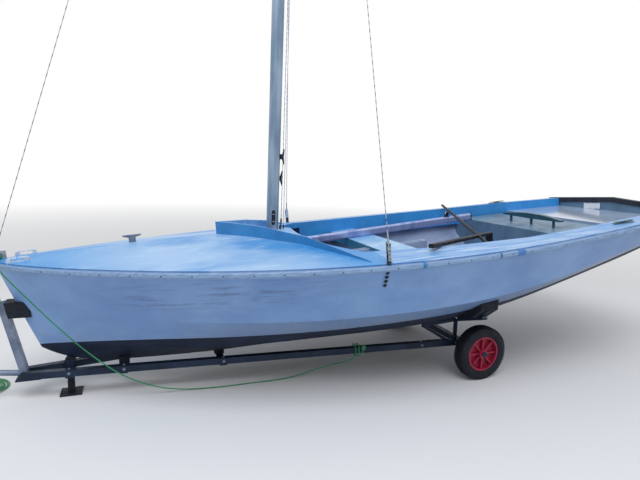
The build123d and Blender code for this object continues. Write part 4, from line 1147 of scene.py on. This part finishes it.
# Standing rigging ends: an adjuster of two plates with pins through their holes, and a swaged
# terminal with its (radius, height) outline.
WIRE_R = 0.002
ADJUSTER_LONG = 0.105
ADJUSTER_W = 0.017
ADJUSTER_T = 0.002
ADJUSTER_GAP = 0.0045
ADJUSTER_UP = 0.040
ADJUSTER_HOLES = 5
HOLE_STEP = 0.020
PIN_OUT = 0.0066
PIN_RADII = (0.0042, 0.0028)
TERMINAL_UP = 0.012
TERMINAL = ((0.0022, -0.03), (0.0042, -0.02), (0.0042, 0.045), (0.0026, 0.055), (0.0021, 0.060))


def tube_piece(name, parts, material):
    """Several tubes as one piece, from (points, radius) pairs in the row frame."""
    bm = bmesh.new()
    for route, radius in parts:
        add_tube(bm, route, radius, sides=10)
    return piece(name, bm, material, angle=60)


def make_stay_ends():
    """Plate adjusters over the chainplates, with their pins, and swaged wire terminals."""
    for side in SIDES:
        plate_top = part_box(f"chainplate_{side.name}")[1].z
        wire_low, wire_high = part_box(f"shroud_{side.name}")
        reaches = abs(wire_low.y), abs(wire_high.y)
        foot = Vector((wire_low.x + WIRE_R, side.sign * (max(reaches) - WIRE_R), plate_top))
        tip = Vector((wire_high.x, side.sign * min(reaches), wire_high.z))
        rise = (tip - foot).normalized()
        outward = Vector((0, side.sign, 0))
        outward = (outward - rise * outward.dot(rise)).normalized()
        up = BOAT.to_3x3() @ Vector((0, 0, 1))
        place = facing(foot - up * ADJUSTER_UP, outward, up)
        bm = bmesh.new()
        for lift in (-ADJUSTER_GAP - ADJUSTER_T, ADJUSTER_GAP):
            plate = place @ Matrix.Translation((0, 0, lift))
            add_prism(bm, plate, slot_outline(ADJUSTER_LONG, ADJUSTER_W), ADJUSTER_T)
        metal_or_plastic = "plastic" if side.name == "starboard" else "stainless"
        piece(f"shroud_adjuster_{side.name}", bm, metal_or_plastic, bevel_mm=0.4)
        bm = bmesh.new()
        for i in range(ADJUSTER_HOLES):
            at = place @ Vector((0, -ADJUSTER_UP + HOLE_STEP * i, PIN_OUT))
            radius = PIN_RADII[i % 2]
            pin = ((radius, 0), (radius, 0.0012), (0, 0.0014))
            add_lathe(bm, facing(at, outward), pin, steps=12)
        piece(f"adjuster_pins_{side.name}", bm, "bolt")
        bm = bmesh.new()
        add_lathe(bm, facing(foot + rise * TERMINAL_UP, rise), TERMINAL, steps=14)
        piece(f"shroud_terminal_{side.name}", bm, "stainless", angle=50)


# Mast fittings: heights and distances from the aft face at the heel.
MAST_HEEL = Vector((0.569, 0, 0.940))
MAST_RAKE = radians(0.5)
MAST_HALF_LONG = 0.039
MAST_HALF_WIDE = 0.033
MAST_LENGTH = 6.440
MAST = Matrix.Translation(MAST_HEEL) @ Matrix.Rotation(-MAST_RAKE, 4, "Y")
SLOT_UP = 0.118
SLOT_LONG = 0.100
SLOT_WIDE = 0.025
SLOT_RIM = 0.012
SLOT_PIN_DROPS = (-0.026, 0.022)
SLOT_PIN = ((0, -0.0085), (0.0028, -0.0085), (0.0028, 0.0085), (0, 0.0085))
MAST_CLEAT_UP = 0.515
MAST_CLEAT_STEP = 0.14
MAST_CLEAT_OFF = 0.016
MAST_CLEAT_T = 0.010
MAST_CLEAT = (
    (-0.006, -0.014),
    (-0.018, -0.050),
    (-0.022, -0.048),
    (-0.018, 0),
    (-0.022, 0.048),
    (-0.018, 0.050),
    (-0.006, 0.014),
)
SHEAVE_OFF = 0.014
MASTHEAD_SHEAVE = (
    (0.004, -0.0045),
    (0.021, -0.0045),
    (0.018, -0.0015),
    (0.018, 0.0015),
    (0.021, 0.0045),
    (0.004, 0.0045),
)
HALYARD_R = 0.0025
MAIN_HALYARD_END = 0.060
SPARE_HALYARD_END = 0.055


def make_mast_fittings():
    """Halyard slots with their pins, cleats, sheave box and the halyards themselves."""
    for side in SIDES:
        outward = MAST.to_3x3() @ Vector((0, side.sign, 0))
        up = MAST.to_3x3() @ Vector((0, 0, 1))
        at = MAST @ Vector((0.002, side.sign * MAST_HALF_WIDE, SLOT_UP))
        place = facing(at, outward, up)
        bm = bmesh.new()
        outer = slot_outline(SLOT_LONG + SLOT_RIM, SLOT_WIDE + SLOT_RIM)
        inner = slot_outline(SLOT_LONG, SLOT_WIDE)
        rim_low, rim_high, lip_high, lip_low = [
            [bm.verts.new(place @ Vector((x, y, z))) for x, y in outline]
            for outline, z in ((outer, -0.001), (outer, 0.0015), (inner, 0.0015), (inner, -0.001))
        ]
        count = len(outer)
        for i in range(count):
            j = (i + 1) % count
            for a, b in ((rim_low, rim_high), (rim_high, lip_high), (lip_high, lip_low)):
                bm.faces.new((a[i], a[j], b[j], b[i]))
        piece(f"halyard_slot_rim_{side.name}", bm, "mast", angle=40)
        bm = bmesh.new()
        add_prism(bm, place, slot_outline(SLOT_LONG, SLOT_WIDE), 0.0006)
        piece(f"halyard_slot_{side.name}", bm, "black")
        bm = bmesh.new()
        for drop in SLOT_PIN_DROPS:
            pin = place @ Matrix.Translation((0, drop, 0.0022)) @ Matrix.Rotation(pi / 2, 4, "Y")
            add_lathe(bm, pin, SLOT_PIN, steps=12)
        piece(f"halyard_slot_pins_{side.name}", bm, "stainless")

    bm = bmesh.new()
    lower = MAST_CLEAT_UP - MAST_CLEAT_STEP
    for up_mast, y in ((MAST_CLEAT_UP, MAST_CLEAT_OFF), (lower, -MAST_CLEAT_OFF)):
        place = MAST @ Matrix.Translation((-MAST_HALF_LONG - 0.004, y, up_mast))
        add_box(bm, place, (0.012, 0.012, 0.034), at=(-0.001, 0, 0))
        flat = place @ Matrix.Translation((0, 0.005, 0)) @ ACROSS
        add_prism(bm, flat, MAST_CLEAT, MAST_CLEAT_T)
    piece("mast_cleats", bm, "black", bevel_mm=1.2)

    bm = bmesh.new()
    head = MAST @ Matrix.Translation((-MAST_HALF_LONG, 0, MAST_LENGTH - 0.060))
    for y in (-SHEAVE_OFF, SHEAVE_OFF):
        for face in (-0.006, 0.006):
            add_box(bm, head, (0.050, 0.002, 0.070), at=(-0.014, y + face, 0.0))
    piece("masthead_sheave_box", bm, "stainless", bevel_mm=0.6)
    bm = bmesh.new()
    for y in (-SHEAVE_OFF, SHEAVE_OFF):
        sheave = head @ Matrix.Translation((-0.006, y, 0.012)) @ ACROSS
        add_lathe(bm, sheave, MASTHEAD_SHEAVE, steps=28, closed=True)
    piece("masthead_sheaves", bm, "black", angle=50)

    top = MAST @ Vector((-MAST_HALF_LONG - 0.027, 0, MAST_LENGTH - 0.050))
    heel = MAST @ Vector((-MAST_HALF_LONG, 0, 0.05))
    main = [Vector((0.512, 0.014, heel.z + 0.045)), Vector((top.x, 0.014, top.z))]
    spare = [Vector((0.487, -0.014, heel.z - 0.002)), Vector((top.x, -0.014, top.z))]
    tube_piece("wire_halyard", [(main, HALYARD_R * 0.8)], "wire")
    tube_piece("rope_halyard", [(spare, HALYARD_R)], "plastic")
    bm = bmesh.new()
    for end, length in ((main[0], MAIN_HALYARD_END), (spare[0], SPARE_HALYARD_END)):
        place = Matrix.Translation(end)
        thimble = [(0.002, 0.02), (0.005, 0.012), (0.006, 0.0), (0.005, -0.012)]
        shank = [(0.003, -length), (0, -length - 0.001)]
        add_lathe(bm, place, thimble + shank, steps=14)
        add_box(bm, place, (0.014, 0.006, 0.024), at=(0.006, 0, -length + 0.018))
    piece("halyard_shackles", bm, "bolt", bevel_mm=0.8)


# Boom fittings: the boom's centre line on its top face, in the boat's frame.
BOOM_AFT = Vector((1.215, -0.430, 0.567))
BOOM_FORE = Vector((4.010, -0.265, 0.567))
BOOM_HALF = 0.022
BOOM_H = 0.060
END_CASTING_T = 0.010
END_SHEAVE_UP = 0.038
SHEET_BLOCK_FROM_END = 0.247
SHEET_SHEAVE_UP = 0.025
CHEEK_OFF = 0.011
CHEEK_T = 0.002
CHEEK_R = 0.017
CHEEK_FOOT = 0.006
END_SHEAVE = ((0.003, -0.005), (0.016, -0.005), (0.013, 0), (0.016, 0.005), (0.003, 0.005))
SHEET_SHEAVE = ((0.003, -0.006), (0.014, -0.006), (0.011, 0), (0.014, 0.006), (0.003, 0.006))


def boom_place(along):
    """Matrix on the boom's underside that distance from its aft end, X along it."""
    line = (BOOM_FORE - BOOM_AFT).normalized()
    up = Vector((0, 0, 1))
    side = up.cross(line).normalized()
    turn = Matrix((line, side, line.cross(side))).transposed().to_4x4()
    return BOAT @ Matrix.Translation(BOOM_AFT + line * along) @ turn


def make_boom_fittings():
    """Cast end with its sheave, and the sheet block."""
    place = boom_place(0.0)
    bm = bmesh.new()
    outline = (
        [(-BOOM_HALF, 0.006)]
        + arc((-BOOM_HALF + 0.012, BOOM_H - 0.014), 0.012, 180, 90, 5)
        + arc((BOOM_HALF - 0.012, BOOM_H - 0.014), 0.012, 90, 0, 5)
        + [(BOOM_HALF, 0.006)]
        + arc((BOOM_HALF - 0.010, 0.010), 0.010, 0, -90, 4)
        + arc((-BOOM_HALF + 0.010, 0.010), 0.010, 270, 180, 4)
    )
    end_face = place @ Matrix.Translation((-END_CASTING_T, 0, 0)) @ ON_EDGE
    add_prism(bm, end_face, outline, END_CASTING_T)
    piece("boom_end_casting", bm, "black", bevel_mm=1.5)
    bm = bmesh.new()
    sheave = place @ Matrix.Translation((-0.012, 0, END_SHEAVE_UP)) @ ACROSS
    add_lathe(bm, sheave, END_SHEAVE, steps=24, closed=True)
    piece("boom_end_sheave", bm, "stainless", angle=50)
    bm = bmesh.new()
    top = boom_place(SHEET_BLOCK_FROM_END) @ Matrix.Translation((0, 0, BOOM_H))
    outline = arc((0, CHEEK_R + 0.001), CHEEK_R, -20, 200, 12) + [(-0.010, 0), (0.010, 0)]
    for y in (-CHEEK_OFF, CHEEK_OFF):
        cheek = top @ Matrix.Translation((0, y + CHEEK_T / 2, CHEEK_FOOT)) @ ACROSS
        add_prism(bm, cheek, outline, CHEEK_T)
    add_box(bm, top, (0.044, 0.026, 0.004), at=(0, 0, 0.004))
    piece("sheet_block_cheeks", bm, "black", bevel_mm=0.6)
    bm = bmesh.new()
    sheave = top @ Matrix.Translation((0, 0, SHEET_SHEAVE_UP)) @ ACROSS
    add_lathe(bm, sheave, SHEET_SHEAVE, steps=24, closed=True)
    piece("sheet_block_sheave", bm, "plastic", angle=50)


# Jam cleats on the side decks: X along, distance out.
JAM_X = {"port": 0.840, "starboard": 0.665}
JAM_Y = {"port": 0.745, "starboard": 0.722}
JAM_LONG = 0.185
JAM_BASE_T = 0.005
JAM_HORN_T = 0.016
JAM_SCREW_SHARE = 0.78
JAM_SCREW_R = 0.0042
ABOVE_DECKS = 1.2


def make_jam_cleats():
    """A dark tapered jam cleat on each side deck."""
    for side in SIDES:
        x = JAM_X[side.name]
        y = side.sign * JAM_Y[side.name]
        found = skin(f"side_deck_{side.name}", (x, y, ABOVE_DECKS), (x, y, 0))
        if not found:
            continue
        at, normal = found
        place = facing(at, normal, BOAT.to_3x3() @ Vector((1, 0, 0)))
        bm = bmesh.new()
        half = JAM_LONG / 2
        fore = [(-0.013, -half), (0.013, -half), (0.017, 0)]
        aft = [(0.013, half), (-0.013, half), (-0.017, 0)]
        add_prism(bm, place, fore + aft, JAM_BASE_T)
        upper = [(-half, 0.015), (-half + 0.020, 0.018), (half - 0.02, 0.015), (half, 0.012)]
        fore_foot = [(half - 0.028, 0.009), (0.020, 0.007), (0.020, 0.003)]
        aft_foot = [(-0.024, 0.003), (-0.024, 0.008), (-half + 0.020, 0.012)]
        horn = upper + fore_foot + aft_foot
        upright = place @ Matrix.Translation((-JAM_HORN_T / 2, 0, 0)) @ ON_EDGE
        add_prism(bm, upright, horn, JAM_HORN_T)
        piece(f"jam_cleat_{side.name}", bm, "beam", bevel_mm=1.0)
        bm = bmesh.new()
        for end in (-1, 1):
            at = place @ Vector((0, end * half * JAM_SCREW_SHARE, JAM_BASE_T + 0.0002))
            add_screw(bm, at, normal, JAM_SCREW_R)
        piece(f"jam_cleat_screws_{side.name}", bm, "stainless")


# Blank card on the transom's inner face, in the boat's frame.
CARD_MIDDLE = Vector((0.0205, -0.196, 0.592))
CARD_WIDE = 0.172
CARD_HIGH = 0.056
CARD_OFF = 0.0015
CARD_END_CURL = 0.020
CARD_EDGE_CURL = 0.003
CARD_SLANT = 0.075


def make_card():
    """Blank white sheet, a little curled at its edges."""
    bm = bmesh.new()
    across, down = 12, 5
    grid = []
    for i in range(across + 1):
        row = []
        for j in range(down + 1):
            u = i / across - 0.5
            v = j / down - 0.5
            curl = CARD_OFF + CARD_END_CURL * abs(u) ** 3 + CARD_EDGE_CURL * abs(v) ** 3
            slant = CARD_SLANT * u * CARD_WIDE
            at = CARD_MIDDLE + Vector((curl, u * CARD_WIDE, v * CARD_HIGH + slant))
            row.append(bm.verts.new(BOAT @ at))
        grid.append(row)
    for i in range(across):
        for j in range(down):
            bm.faces.new((grid[i][j], grid[i + 1][j], grid[i + 1][j + 1], grid[i][j + 1]))
    card = piece("blank_card", bm, "card", angle=80)
    thick = card.modifiers.new("sheet_thickness", "SOLIDIFY")
    thick.thickness = 0.8 * MM


# Trolley fastenings and wheels.
AXLE = Vector((-0.760, 0, 0.185))
TYRE_MIDDLE = 0.548
TYRE_R = 0.185
TYRE_RIM_R = 0.118
TREAD_PITCHES = 60
TREAD_DEPTH = 0.0035
SHOULDER_OUT = 0.03
SHOULDER_DROP = 0.012
LUG_ROOT = 0.010
LUG_TOP = 0.0004
SHOULDER_ROUND = 0.42
# Valve: its angle on the wheel, its distances from the axle and along it, and its outline.
VALVE_TURN = 0.8
VALVE_R = 0.098
VALVE_OUT = 0.020
VALVE = (
    (0, -0.004),
    (0.0042, -0.004),
    (0.0042, 0.010),
    (0.0036, 0.012),
    (0.0036, 0.019),
    (0.003, 0.020),
    (0, 0.020),
)


def tyre_section():
    """Half of the tyre's outline from the bead to the middle of the tread, (radius, out)."""
    return (
        (TYRE_RIM_R + 0.0002, 0.034),
        (TYRE_RIM_R + 0.003, 0.041),
        (TYRE_RIM_R + 0.007, 0.043),
        (TYRE_RIM_R + 0.010, 0.042),
        (TYRE_RIM_R + 0.018, 0.0465),
        (TYRE_RIM_R + 0.030, 0.0478),
        (TYRE_RIM_R + 0.040, 0.0468),
        (TYRE_RIM_R + 0.0425, 0.0452),
        (TYRE_RIM_R + 0.050, 0.042),
        (TYRE_R - TREAD_DEPTH - 0.006, 0.036),
        (TYRE_R - TREAD_DEPTH - 0.001, 0.026),
        (TYRE_R - TREAD_DEPTH, 0.0),
    )


Lug = namedtuple("Lug", "start stop inner outer skew")
LUGS = (
    Lug(0.05, 0.72, 0.025, 0.040, 0.30),
    Lug(0.30, 0.97, 0.0025, 0.0225, -0.35),
)


def add_lug(bm, place, lug, pitch, sign):
    """One tread block, its faces bent to the tyre and its foot in the carcass. The blocks
    of one half stand half a pitch on from those of the other."""
    step = 2 * pi / TREAD_PITCHES
    shift = 0.5 if sign < 0 else 0.0
    corners = []
    for out, skewed in ((lug.inner, 0.0), (lug.outer, lug.skew)):
        for edge in (lug.start, lug.stop):
            angle = (pitch + shift + edge + skewed) * step
            crown = 0.0 if out < SHOULDER_OUT else SHOULDER_DROP
            foot = TYRE_R - TREAD_DEPTH - LUG_ROOT - crown
            for radius in (foot, TYRE_R - LUG_TOP - crown * SHOULDER_ROUND):
                corner = Vector((radius * cos(angle), radius * sin(angle), sign * out))
                corners.append(bm.verts.new(place @ corner))
    a, b, c, d, e, f, g, h = corners
    across = (a, c, d, b), (e, f, h, g), (a, b, f, e)
    along = (c, g, h, d), (b, d, h, f), (a, e, g, c)
    for quad in (*across, *along):
        bm.faces.new(quad)


def make_wheels():
    """A rounded tyre with tread blocks for each wheel, and its valve."""
    for side in SIDES:
        centre = AXLE + Vector((0, side.sign * TYRE_MIDDLE, 0))
        place = Matrix.Translation(centre) @ Matrix.Rotation(-side.sign * pi / 2, 4, "X")
        half = tyre_section()
        profile = [(r, h) for r, h in half] + [(r, -h) for r, h in reversed(half[:-1])]
        bm = bmesh.new()
        add_lathe(bm, place, profile, steps=96, closed=True)
        for pitch in range(TREAD_PITCHES):
            for lug in LUGS:
                for sign in (1, -1):
                    add_lug(bm, place, lug, pitch, sign)
        wheel = f"wheel_{side.name}"
        tyre = piece(f"treaded_tyre_{side.name}", bm, "tyre", body=wheel, angle=32)
        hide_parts(f"tyre_{side.name}")
        bm = bmesh.new()
        turned = place @ Matrix.Rotation(VALVE_TURN, 4, "Z")
        stem = turned @ Matrix.Translation((VALVE_R, 0, VALVE_OUT))
        add_lathe(bm, stem, VALVE, steps=14)
        piece(f"tyre_valve_{side.name}", bm, "black", body=wheel, angle=40)


# Side bars: bolt places aft, and the bars' upper face and middle at the drawbar's head, which
# lies ahead of the prop foot, with how they rise and spread aft of it.
BAR_BOLTS_AFT = (0.0, 0.300, 0.880, 2.450, 2.200)
BAR_HEAD_AHEAD = 0.250
BAR_TOP_AT_HEAD = 0.150
BAR_RISE = 0.073 / 2.850
BAR_OUT_AT_HEAD = 0.035
BAR_SPREAD = 0.395 / 2.850
BAR_HALF = 0.020
OFF_BAR = 0.0003
BAR_BOLT_R = 0.006
AXLE_AFT = 2.560
CLAMP_HALF = 0.026
CLAMP_R = 0.004
CLAMP_OUT = 0.400
CLAMP_LOW = 0.155
CLAMP_HIGH = 0.262
GRIP_LONG = 0.130
GRIP_RIBS = 12
GRIP_END_R = 0.0136
GRIP_RIB_RADII = (0.0138, 0.0148)
HANDLE_R = 0.015


def make_trolley_fastenings():
    """Bolts through the bars, the axle's clamps and rubber grips on the handle."""
    bm = bmesh.new()
    for aft in BAR_BOLTS_AFT:
        for side in SIDES:
            run = aft + BAR_HEAD_AHEAD
            out = side.sign * (BAR_OUT_AT_HEAD + BAR_SPREAD * run)
            up = BAR_TOP_AT_HEAD + BAR_RISE * run + BAR_HALF
            add_bolt(bm, aft_point(aft, out, up), Vector((0, 0, 1)), BAR_BOLT_R)
            face = aft_point(aft, out + side.sign * (BAR_HALF + OFF_BAR), up - BAR_HALF)
            add_bolt(bm, face, Vector((0, side.sign, 0)), BAR_BOLT_R)
    piece("trolley_bolts", bm, "galvanised")
    bm = bmesh.new()
    for side in SIDES:
        out = side.sign * CLAMP_OUT
        clamp = [
            aft_point(AXLE_AFT + CLAMP_HALF, out, CLAMP_LOW),
            aft_point(AXLE_AFT + CLAMP_HALF, out, CLAMP_HIGH),
            aft_point(AXLE_AFT - CLAMP_HALF, out, CLAMP_HIGH),
            aft_point(AXLE_AFT - CLAMP_HALF, out, CLAMP_LOW),
        ]
        add_tube(bm, clamp, CLAMP_R, sides=8)
    piece("axle_clamps", bm, "galvanised", angle=40)
    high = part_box("drawbar_handle")[1]
    bm = bmesh.new()
    for side in SIDES:
        inner = Vector((high.x - HANDLE_R, side.sign * (high.y - GRIP_LONG), high.z - HANDLE_R))
        ribs = [
            (GRIP_RIB_RADII[i % 2], GRIP_LONG * 0.98 * i / GRIP_RIBS) for i in range(GRIP_RIBS + 1)
        ]
        cap = [(0.012, GRIP_LONG * 0.995), (0, GRIP_LONG * 0.998)]
        profile = [(GRIP_END_R, -0.001), *ribs, *cap]
        add_lathe(bm, facing(inner, (0, side.sign, 0)), profile, steps=20)
    piece("handle_grips", bm, "rubber", angle=50)


# Floor, light and background.
FLOOR_R = 60.0
FADE_FROM = 4.5
FADE_TO = 14.0
LAMP_AT = Vector((2.5, 5.0, 9.0))
LAMP_AIM = Vector((0, 0, 0.6))


def make_stage():
    """Plain pale floor, even sky light and one broad soft lamp."""
    bm = bmesh.new()
    bmesh.ops.create_circle(bm, cap_ends=True, segments=64, radius=FLOOR_R)
    mesh = bpy.data.meshes.new("studio_floor")
    bm.to_mesh(mesh)
    bm.free()
    floor_material = stage_material("pale_studio_floor", "#e3e5e8", FADE_FROM, FADE_TO)
    mesh.materials.append(floor_material)
    floor = bpy.data.objects.new("studio_floor", mesh)
    bpy.context.scene.collection.objects.link(floor)

    world = bpy.data.worlds.new("studio_light")
    world.use_nodes = True
    tree = world.node_tree
    tree.nodes.clear()
    seen = node(tree, "LightPath").outputs
    shown = {0: seen["Is Camera Ray"], 1: seen["Is Glossy Ray"]}
    shown = node(tree, "Math", shown, operation="MAXIMUM")
    shown = {0: shown, 1: seen["Is Transmission Ray"]}
    shown = node(tree, "Math", shown, operation="MAXIMUM")
    strength = node(tree, "MapRange", {0: shown, 3: 0.62, 4: 1.0})
    sky = node(tree, "Background", {"Color": (1, 1, 1, 1), "Strength": strength})
    node(tree, "OutputWorld", {"Surface": sky})
    bpy.context.scene.world = world

    lamp = bpy.data.lights.new("broad_lamp", "AREA")
    lamp.shape = "RECTANGLE"
    lamp.size = 7
    lamp.size_y = 5
    lamp.energy = 560
    holder = bpy.data.objects.new("broad_lamp", lamp)
    holder.matrix_world = facing(LAMP_AT, LAMP_AT - LAMP_AIM)
    bpy.context.scene.collection.objects.link(holder)


bpy.context.scene.view_settings.view_transform = "Standard"
make_camera()
make_ropes()
dress_cad_pieces()
make_hull_fastenings()
make_stay_ends()
make_mast_fittings()
make_boom_fittings()
make_jam_cleats()
make_card()
make_wheels()
make_trolley_fastenings()
make_stage()
